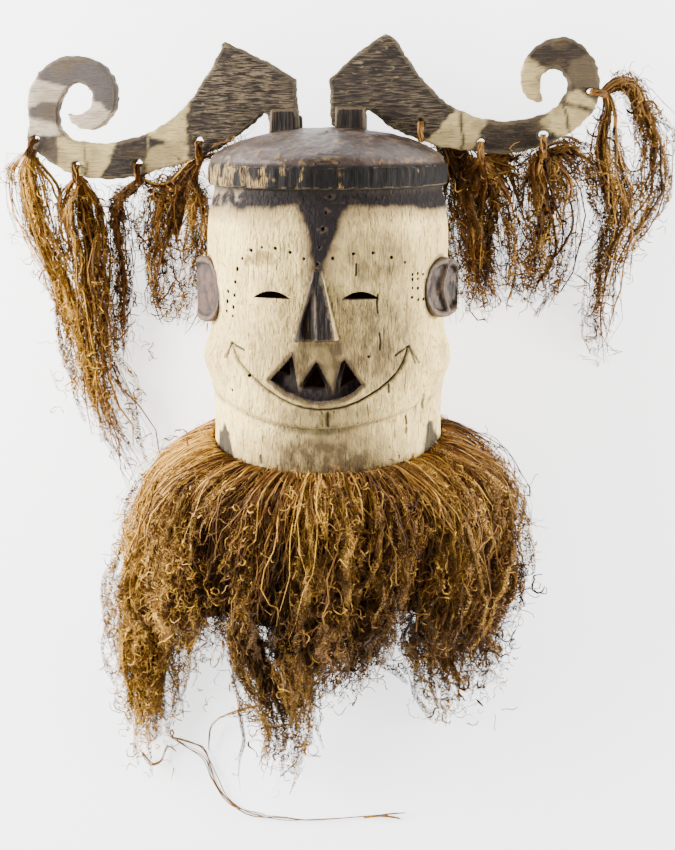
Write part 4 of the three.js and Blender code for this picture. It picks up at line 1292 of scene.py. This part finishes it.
for name, (pale, parts) in tufts.items():
    groups, cores = [], []
    hole_x, hole_y = tie_holes[name]
    toward_x, toward_y, edge = tie_ways.get(name, (0, -1, 13))
    # The tie: twisted fibres out of the hole, over the front and round the edge of the board.
    loop = []
    for turn in np.linspace(0, 2 * math.pi, 22):
        lift = 2.2 + 1.2 * math.sin(turn) + random.uniform(0, 2.2)
        over, behind, past = board_front + lift, board_back - lift, edge + 2 + lift
        spots = [
            (0, -10), (0.5, over), (edge * 0.35, over + 1.4), (edge * 0.7, over + 1),
            (past - 2, over - 1.5), (past, -16), (past - 2, behind), (edge * 0.4, behind), (0, -22),
        ]
        line = []
        for step, (d, z) in enumerate(spots):
            off = 2.0 * math.cos(turn + 0.7 * step) + random.normal() * 0.7
            line.append((hole_x + toward_x * d - toward_y * off, hole_y + toward_y * d + toward_x * off, z))
        loop.append(curve_through(line, 17))
    loop_tones = varied(0.42, 0.22, len(loop))
    groups.append((np.array(loop), random.uniform(0.5, 0.95, len(loop)), loop_tones))
    massed = name in ("tuft_right_1", "tuft_right_2", "tuft_right_3")
    for stations in parts:
        size = sum(s[3] for s in stations) / len(stations)
        length = sum(math.dist(a[:3], b[:3]) for a, b in zip(stations[:-1], stations[1:]))
        count = int(length * size / (100 if massed else 124)) + 6
        guides, core = bundle(stations, 4 + int(size / 1.6))
        cores.append(core)
        tone_of = random.normal(0, 0.1, len(guides))
        chosen = random.integers(0, len(guides), count)
        girth = ([0, 0.12, 0.4, 1], [1.5, 5, 12, 15] if massed else [1.5, 3, 6, 8])
        ends = random.uniform(0.3, 1.02, count)
        paths = strands(guides, chosen, 16, girth, ends, wild=9, sway=4)
        tones = varied(0.08 + pale * 0.75 + tone_of[chosen], 0.22, count)
        groups.append((paths, random.uniform(0.4, 0.95, count), tones))
        few = count // 6
        ends = random.uniform(0.7, 1.12, few)
        wisps = strands(guides, chosen[:few], 16, ([0, 0.3, 1], [2, 9, 14]), ends, wild=12)
        groups.append((wisps, random.uniform(0.3, 0.5, few), varied(pale, 0.2, few)))
        ends = random.uniform(0.85, 1.05, count)
        carriers = strands(guides, chosen, 20, girth, ends, wild=8, sway=3)
        made, pick = frizz_on(carriers, count * 10, (12, 40), first=2, bend=0.19, sag=0.002)
        tones = varied(pale * 0.9 + 0.02 + tone_of[chosen[pick]], 0.24, len(made))
        groups.append((made, random.uniform(0.3, 0.6, len(made)), tones))
        made, pick = patches_on(carriers, int(count * 1.1), first=1)
        tones = varied(pale * 0.8 + tone_of[chosen[pick]], 0.16, len(made))
        least = patch_from + 0.1
        groups.append((made, random.uniform(least, least + size * 0.22, len(made)), tones))
        if massed:
            # Broad strips of leaf near the top.
            few = 9
            chosen, ends = random.integers(0, len(guides), few), random.uniform(0.25, 0.5, few)
            strips = strands(guides, chosen, 12, girth, ends, wild=9, sway=12)
            widths = random.uniform(ribbon_from + 0.01, 1.9, few)
            groups.append((strips, widths, random.uniform(0.3, 0.6, few)))
    # A few turns of fibre round the neck of the tuft.
    neck_x, neck_y, neck_height, neck_width, neck_depth = parts[0][0]
    steps = 36
    wind = np.linspace(0, 6 * math.pi, steps)
    swing = neck_width * 0.7 * np.cos(wind)
    wraps = []
    for _ in range(5):
        slide = random.uniform(-4, 4) + np.linspace(-3, 3, steps)
        wraps.append(np.stack([
            neck_x + toward_x * slide - toward_y * swing, neck_y + toward_y * slide + toward_x * swing,
            neck_height + floor_level + (neck_depth + 1) * np.sin(wind) + random.normal(0, 0.4, steps),
        ], 1))
    count = len(wraps)
    groups.append((np.array(wraps), np.full(count, 0.8), random.uniform(0.25, 0.7, count)))
    made = fibres("raffia_" + name, groups, cores, pale * 0.8)
    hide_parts(name)


# Collar: fibres tied to a twined cord round the neck rim. They stand out from it, bend over and
# run to the far end, where they part into three long locks. A dark matted inside, which is also
# painted shade between the strands, lies under strands that start combed and end frayed, and
# short crimped fibres stand out all over.

# The rows of the skirt: y, left and right edge, height on top and at the sides, and how far the
# top is drawn down.
skirt_rows = [
    (27, -120, 120, 254, 130, 19), (24, -132, 132, 266, 130, 17), (12, -153, 152, 282, 122, 13),
    (-10, -181, 178, 290, 112, 8), (-44, -203, 198, 286, 96, 0), (-84, -219, 199, 260, 78, 0),
    (-126, -235, 203, 228, 62, 0), (-170, -243, 194, 194, 50, 0), (-212, -245, 180, 162, 40, 0),
    (-256, -245, 176, 128, 30, 0), (-300, -242, 170, 92, 22, 0), (-345, -240, 165, 60, 16, 0),
    (-390, -235, 160, 36, 10, 0), (-445, -230, 150, 16, 5, 0),
]
skirt = curve_through(skirt_rows, 160)
row_numbers = np.arange(len(skirt))
# The three locks from left to right: y, middle, half width and height. The parting is how far
# down from the neck rim they start.
lobes = [np.array(rows, float) for rows in (
    [(-170, -201, 46, 92), (-250, -212, 44, 56), (-310, -213, 36, 40), (-360, -220, 25, 28),
     (-408, -224, 13, 14)],
    [(-170, -34, 100, 190), (-215, -38, 92, 150), (-268, -43, 80, 112), (-310, -49, 52, 76),
     (-352, -55, 33, 47), (-396, -70, 16, 24), (-443, -77, 7, 11)],
    [(-170, 118, 64, 108), (-245, 122, 60, 66), (-290, 130, 52, 42), (-325, 140, 36, 18)],
)]
parting = 212


def along_lobe(lobe, down):
    """The middle, half width and height of a lobe so far down from the neck rim."""
    return [np.interp(down, -lobe[:, 0], lobe[:, k]) for k in (1, 2, 3)]


def skirt_paths(angles, ends, depths, steps):
    """Paths over the skirt, given the angle round the neck and the depth under the surface at
    each step, and how far down each path goes."""
    last = np.interp(-ends, -skirt[:, 0], row_numbers)
    place = np.linspace(0, 1, steps)[None, :] ** 0.85 * last[:, None]
    y, left, right, top, widest, drop = [np.interp(place, row_numbers, row) for row in skirt.T]
    sin, cos = np.sin(angles), np.cos(angles)
    x = (left + right) / 2 + (right - left) / 2 * cos
    under = widest * np.maximum(0.04, 1 - 1.15 * abs(sin) ** 0.6)
    height = np.where(sin > 0, widest + (top - widest) * sin, under)
    y = y - drop * np.maximum(0, sin)
    share = smoothstep(-168, -245, y)
    lobe_of = np.digitize(x[:, -1], (-140, 56))
    for index, lobe in enumerate(lobes):
        mine = lobe_of == index
        axis, half, tall = along_lobe(lobe, -y[mine])
        middle, wide, _ = along_lobe(lobe, parting)
        at_rim = np.array([np.interp(parting, -y[k], x[k]) for k in np.flatnonzero(mine)])
        u = np.clip((at_rim - middle) / wide, -1.25, 1.25)[:, None]
        tall = tall * np.sqrt(np.maximum(0.05, 1 - (u / 1.3) ** 2)) * np.maximum(0.15, abs(sin[mine]))
        x[mine] += (axis + u * half - x[mine]) * share[mine]
        height[mine] += (tall - height[mine]) * share[mine]
    inward = unit(np.stack([(left + right) / 2 - x, 0 * y, 50 - height], 2), 1)
    paths = np.stack([x, y, height + floor_level], 2)
    fade = np.minimum(1, place / 14)[:, :, None]
    thin = np.interp(height, [0, 60], [0.15, 1])[:, :, None]
    return paths + inward * depths[:, :, None] * fade * thin


def skirt_ends(angles, early):
    """How far down fibres at these angles may go: to the tip of their lobe."""
    x = -28 + 214 * np.cos(angles)
    tips = np.interp(
        x, [-255, -235, -205, -175, -150, -128, -100, -78, -40, 0, 40, 60, 95, 150, 175, 190],
        [-310, -410, -418, -336, -256, -256, -326, -446, -416, -330, -278, -280, -322, -344, -316, -220],
    )
    return -150 + (tips + 150) * early


# The matted inside: one thick shell of old fibre under the strands, from the neck to the lobes, dark as
# painted shade between them.
columns, rows = 90, 32
around = np.linspace(-0.5, math.pi + 0.5, columns)
shell_ends = -172 + 16 * noise(np.stack([around * 4, 0 * around, 0 * around], 1), 1, 83)
sheets = []
for deep in (21.0, 40.0):
    sheet = skirt_paths(around[:, None], shell_ends, np.full((columns, 1), deep), rows)
    lumps = noise(sheet.reshape(-1, 3), 1 / 26, 81).reshape(columns, rows, 1)
    lumps = lumps * np.linspace(0, 1, rows)[None, :, None] ** 0.5
    away = unit((sheet - np.array([-25, 0, 50 + floor_level])) * (1, 0, 1))
    sheets.append(sheet + away * (lumps * 7 - 3))
corners = np.array(sheets).reshape(-1, 3)
inner = columns * rows
corners[:, 2] = np.maximum(corners[:, 2], floor_level + np.repeat([4.0, 1.0], inner))
index = np.arange(inner).reshape(columns, rows)
cells = np.stack([index[:-1, :-1], index[:-1, 1:], index[1:, 1:], index[1:, :-1]], 2).reshape(-1, 4)
border = np.concatenate([index[:, 0], index[-1, 1:], index[-2::-1, -1], index[0, -2:0:-1]])
after = np.roll(border, -1)
joined = np.stack([border, after, after + inner, border + inner], 1)
faces = np.concatenate([cells, (cells + inner)[:, ::-1], joined])
mesh = bpy.data.meshes.new("collar_inside")
mesh.from_pydata((corners / 1000 + np.array(origin)).tolist(), [], faces.tolist())
put_attribute(mesh, "tone", np.clip(0.04 + 0.1 * noise(corners, (0.12, 0.03, 0.12), 82), 0, 1))
mesh.materials.append(matted_fibre_and_shade)
matted = link("collar_inside", mesh)
edit(matted, turn_outwards)
bpy.ops.object.shade_smooth()
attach(matted, "root")
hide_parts("collar")

# The three locks have matted cores of their own, dark as painted shade inside them.
lobe_cores = []
steps = 24
down, right = [np.tile(way, (steps, 1)) for way in ([0.0, -1, 0], [1.0, 0, 0])]
for lobe, end in zip(lobes, (-300, -310, -275)):
    y = np.linspace(-150, end, steps)
    axis, half, tall = along_lobe(lobe, -y)
    dense = np.stack([axis - 4, y, tall * 0.42 + floor_level, half, tall * 0.42], 1)
    lobe_cores.append(lump(dense, down, right, share=0.3))

# The strands: each is a handful of fibres that leave the cord together and fray further down.
# They hang in hanks, with hollows between, and each hank ends at its own height.
hank_count = 16
hanks = np.cumsum(random.uniform(0.7, 1.3, hank_count))
hanks = -0.5 + (math.pi + 1) * (hanks - hanks[0] / 2) / hanks[-1]
hank_early = random.uniform(0.62, 1.0, hank_count)
hank_tone = random.normal(0, 0.1, hank_count)
hank_turn = random.normal(0, 0.14, hank_count)
lock_angles = np.linspace(-0.42, math.pi + 0.42, 130) + random.normal(0, 0.02, 130)
for low, high, count in ((0.2, math.pi - 0.2, 40), (-2.5, -0.5, 16)):
    lock_angles = np.append(lock_angles, random.uniform(low, high, count))
short_locks = len(lock_angles)
# These strands reach the tips of the three locks.
for low, high, count in ((2.35, 3.25, 38), (1.36, 1.94, 54), (1.15, 1.4, 12), (0.15, 1.15, 62)):
    lock_angles = np.append(lock_angles, random.uniform(low, high, count))
lock_count = len(lock_angles)
reach_tip = np.arange(lock_count) >= short_locks
hank = np.argmin(abs(lock_angles[:, None] - hanks[None, :]), axis=1)
off_hank = np.where(lock_angles > -0.5, lock_angles - hanks[hank], 0)
lock_early = np.clip(hank_early[hank] * random.beta(3.2, 0.9, lock_count), 0.2, 1.0)
lock_early = np.where(reach_tip, random.uniform(0.85, 1.04, lock_count), lock_early)
steps = 50
grow = np.linspace(0, 1, steps)[None, :]
gathered = smoothstep(0.06, 0.7, grow)
angles = lock_angles[:, None] + (hank_turn[hank] - 0.3 * off_hank)[:, None] * gathered
depths = 17 * (abs(off_hank) / 0.14) ** 2 + 6 * reach_tip
depths = random.normal(3, 3.5, lock_count)[:, None] + depths[:, None] * gathered
guides = skirt_paths(angles, skirt_ends(lock_angles, lock_early), np.minimum(depths, 22), steps)
guides = shake(guides, 20 * smoothstep(0.04, 0.45, grow), wave=70, seed=60)
lock_tone = random.normal(0, 0.1, lock_count) + hank_tone[hank]


def shade(paths, tones):
    """Painted shade and light: darker fibre low in the middle and at the right, where it lies in the shadow
    of the rest, and paler fibre at the left, where the light falls.
    """
    x, y = paths[:, paths.shape[1] // 2, :2].T
    low, bright = smoothstep(-60, -190, y), smoothstep(-60, -170, x)
    tones = tones - (0.31 * low + 0.12) * (1 - bright) + 0.14 * bright
    return np.clip(tones - 0.1 * smoothstep(40, 130, x), 0, 1)


# Fibres under the strands, dark as painted shade, and single ones that stray over them.
count, steps = 280, 11
angles = random.uniform(-0.5, math.pi + 0.5, count)
ends = skirt_ends(angles, random.uniform(0.2, 0.6, count))
under = skirt_paths(angles[:, None], ends, random.uniform(12, 24, (count, 1)), steps)
under = shake(under, 22 * np.linspace(0.1, 1, steps)[None, :], wave=45, seed=70)
under_shaded_tones = random.uniform(0.05, 0.34, count)
count = 1200
chosen = random.integers(0, lock_count, count)
girth = ([0, 0.08, 0.3, 0.7, 1], [1.5, 5, 9, 14, 16])
ends = 0.16 + 0.55 * random.beta(1.2, 2.6, count)
outer = strands(guides, chosen, 14, girth, ends, wild=11, sway=26)
tones = shade(outer, 0.62 + lock_tone[chosen] + random.normal(0, 0.22, count))
widths = random.uniform(0.35, 0.7, count)
middle_x = outer[:, 7, 0]
for name, low, high in (("left", -400, -95), ("middle", -95, 55), ("right", 55, 400)):
    mine = (middle_x >= low) & (middle_x < high)
    groups = [(outer[mine], widths[mine], tones[mine])]
    if name == "middle":
        groups.append((under, random.uniform(0.6, 1.2, len(under)), under_shaded_tones))
    made = fibres("collar_strands_" + name, groups, lobe_cores if name == "middle" else ())

# Crimped and tangled fibre over the whole of it, thin at the top, thick from half way down.
count = 2200
chosen = random.integers(0, lock_count, count)
girth = ([0, 0.08, 0.3, 0.7, 1], [2, 5, 8, 11, 12])
carriers = strands(guides, chosen, 24, girth, random.uniform(0.9, 1.1, count), wild=10, sway=10)
for name, count, lengths, first in (
    ("upper", 3200, (9, 26), 0), ("lower", 4100, (10, 32), 5), ("tips", 3700, (12, 36), 13)
):
    frizz, pick = frizz_on(carriers, count, lengths, first, bend=0.24, sag=0.001)
    tones = shade(frizz, 0.66 + lock_tone[chosen[pick]] + random.normal(0, 0.26, count))
    patches, pick = patches_on(carriers, count // 10, first)
    patch_tones = shade(patches, 0.56 + lock_tone[chosen[pick]] + random.normal(0, 0.18, len(pick)))
    made = fibres("collar_frizz_" + name, [
        (frizz, random.uniform(0.32, 0.62, count), tones),
        (patches, random.uniform(3.2, 7.5, len(pick)), patch_tones),
    ])

# The twined cord round the neck, and a few long fibres that came loose at the far end.
turns = np.linspace(0, 2 * math.pi, 260)
rise = np.sin(turns)
twine = []
for phase in (0, 2.1, 4.2):
    wind = turns * 62 + phase
    out = 121.5 + 1.5 * np.cos(wind)
    up = 22 - 19 * np.maximum(0, rise) + 1.6 * np.sin(wind) + 1.5
    twine.append(np.stack([out * np.cos(turns), up, np.maximum(out * 1.02 * rise, -125)], 1))
loose_lines = [
    [(-203, -371, 9), (-179, -379, 6), (-161, -389, 5), (-149, -424, 5), (-134, -450, 4), (-108, -466, 4),
     (-70, -471, 3), (-36, -472, 3), (30, -464, 4), (60, -459, 6), (78, -455, 8)],
    [(30, -464, 4), (52, -463, 5), (72, -466, 3)],
    [(-203, -371, 8), (-183, -383, 5), (-163, -399, 4), (-150, -430, 4), (-128, -458, 4), (-90, -469, 3)],
    [(-236, -392, 9), (-226, -408, 6), (-214, -404, 5), (-206, -386, 4), (-196, -392, 4)],
    [(-70, -300, 70), (-120, -330, 30), (-150, -352, 12), (-158, -390, 6)],
]
loose = []
for line in loose_lines:
    for _ in range(3):
        lifted = np.array(line, float) + random.normal(0, 1.2, (len(line), 3))
        lifted[:, 2] = np.maximum(lifted[:, 2], 1.5) + floor_level
        loose.append(curve_through(lifted, 34))
made = fibres("collar_cord", [
    (np.array(twine), np.full(3, 1.7), np.array([0.5, 0.62, 0.56])),
    (np.array(loose), random.uniform(0.5, 1.0, len(loose)), random.uniform(0.35, 0.8, len(loose))),
])


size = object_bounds()
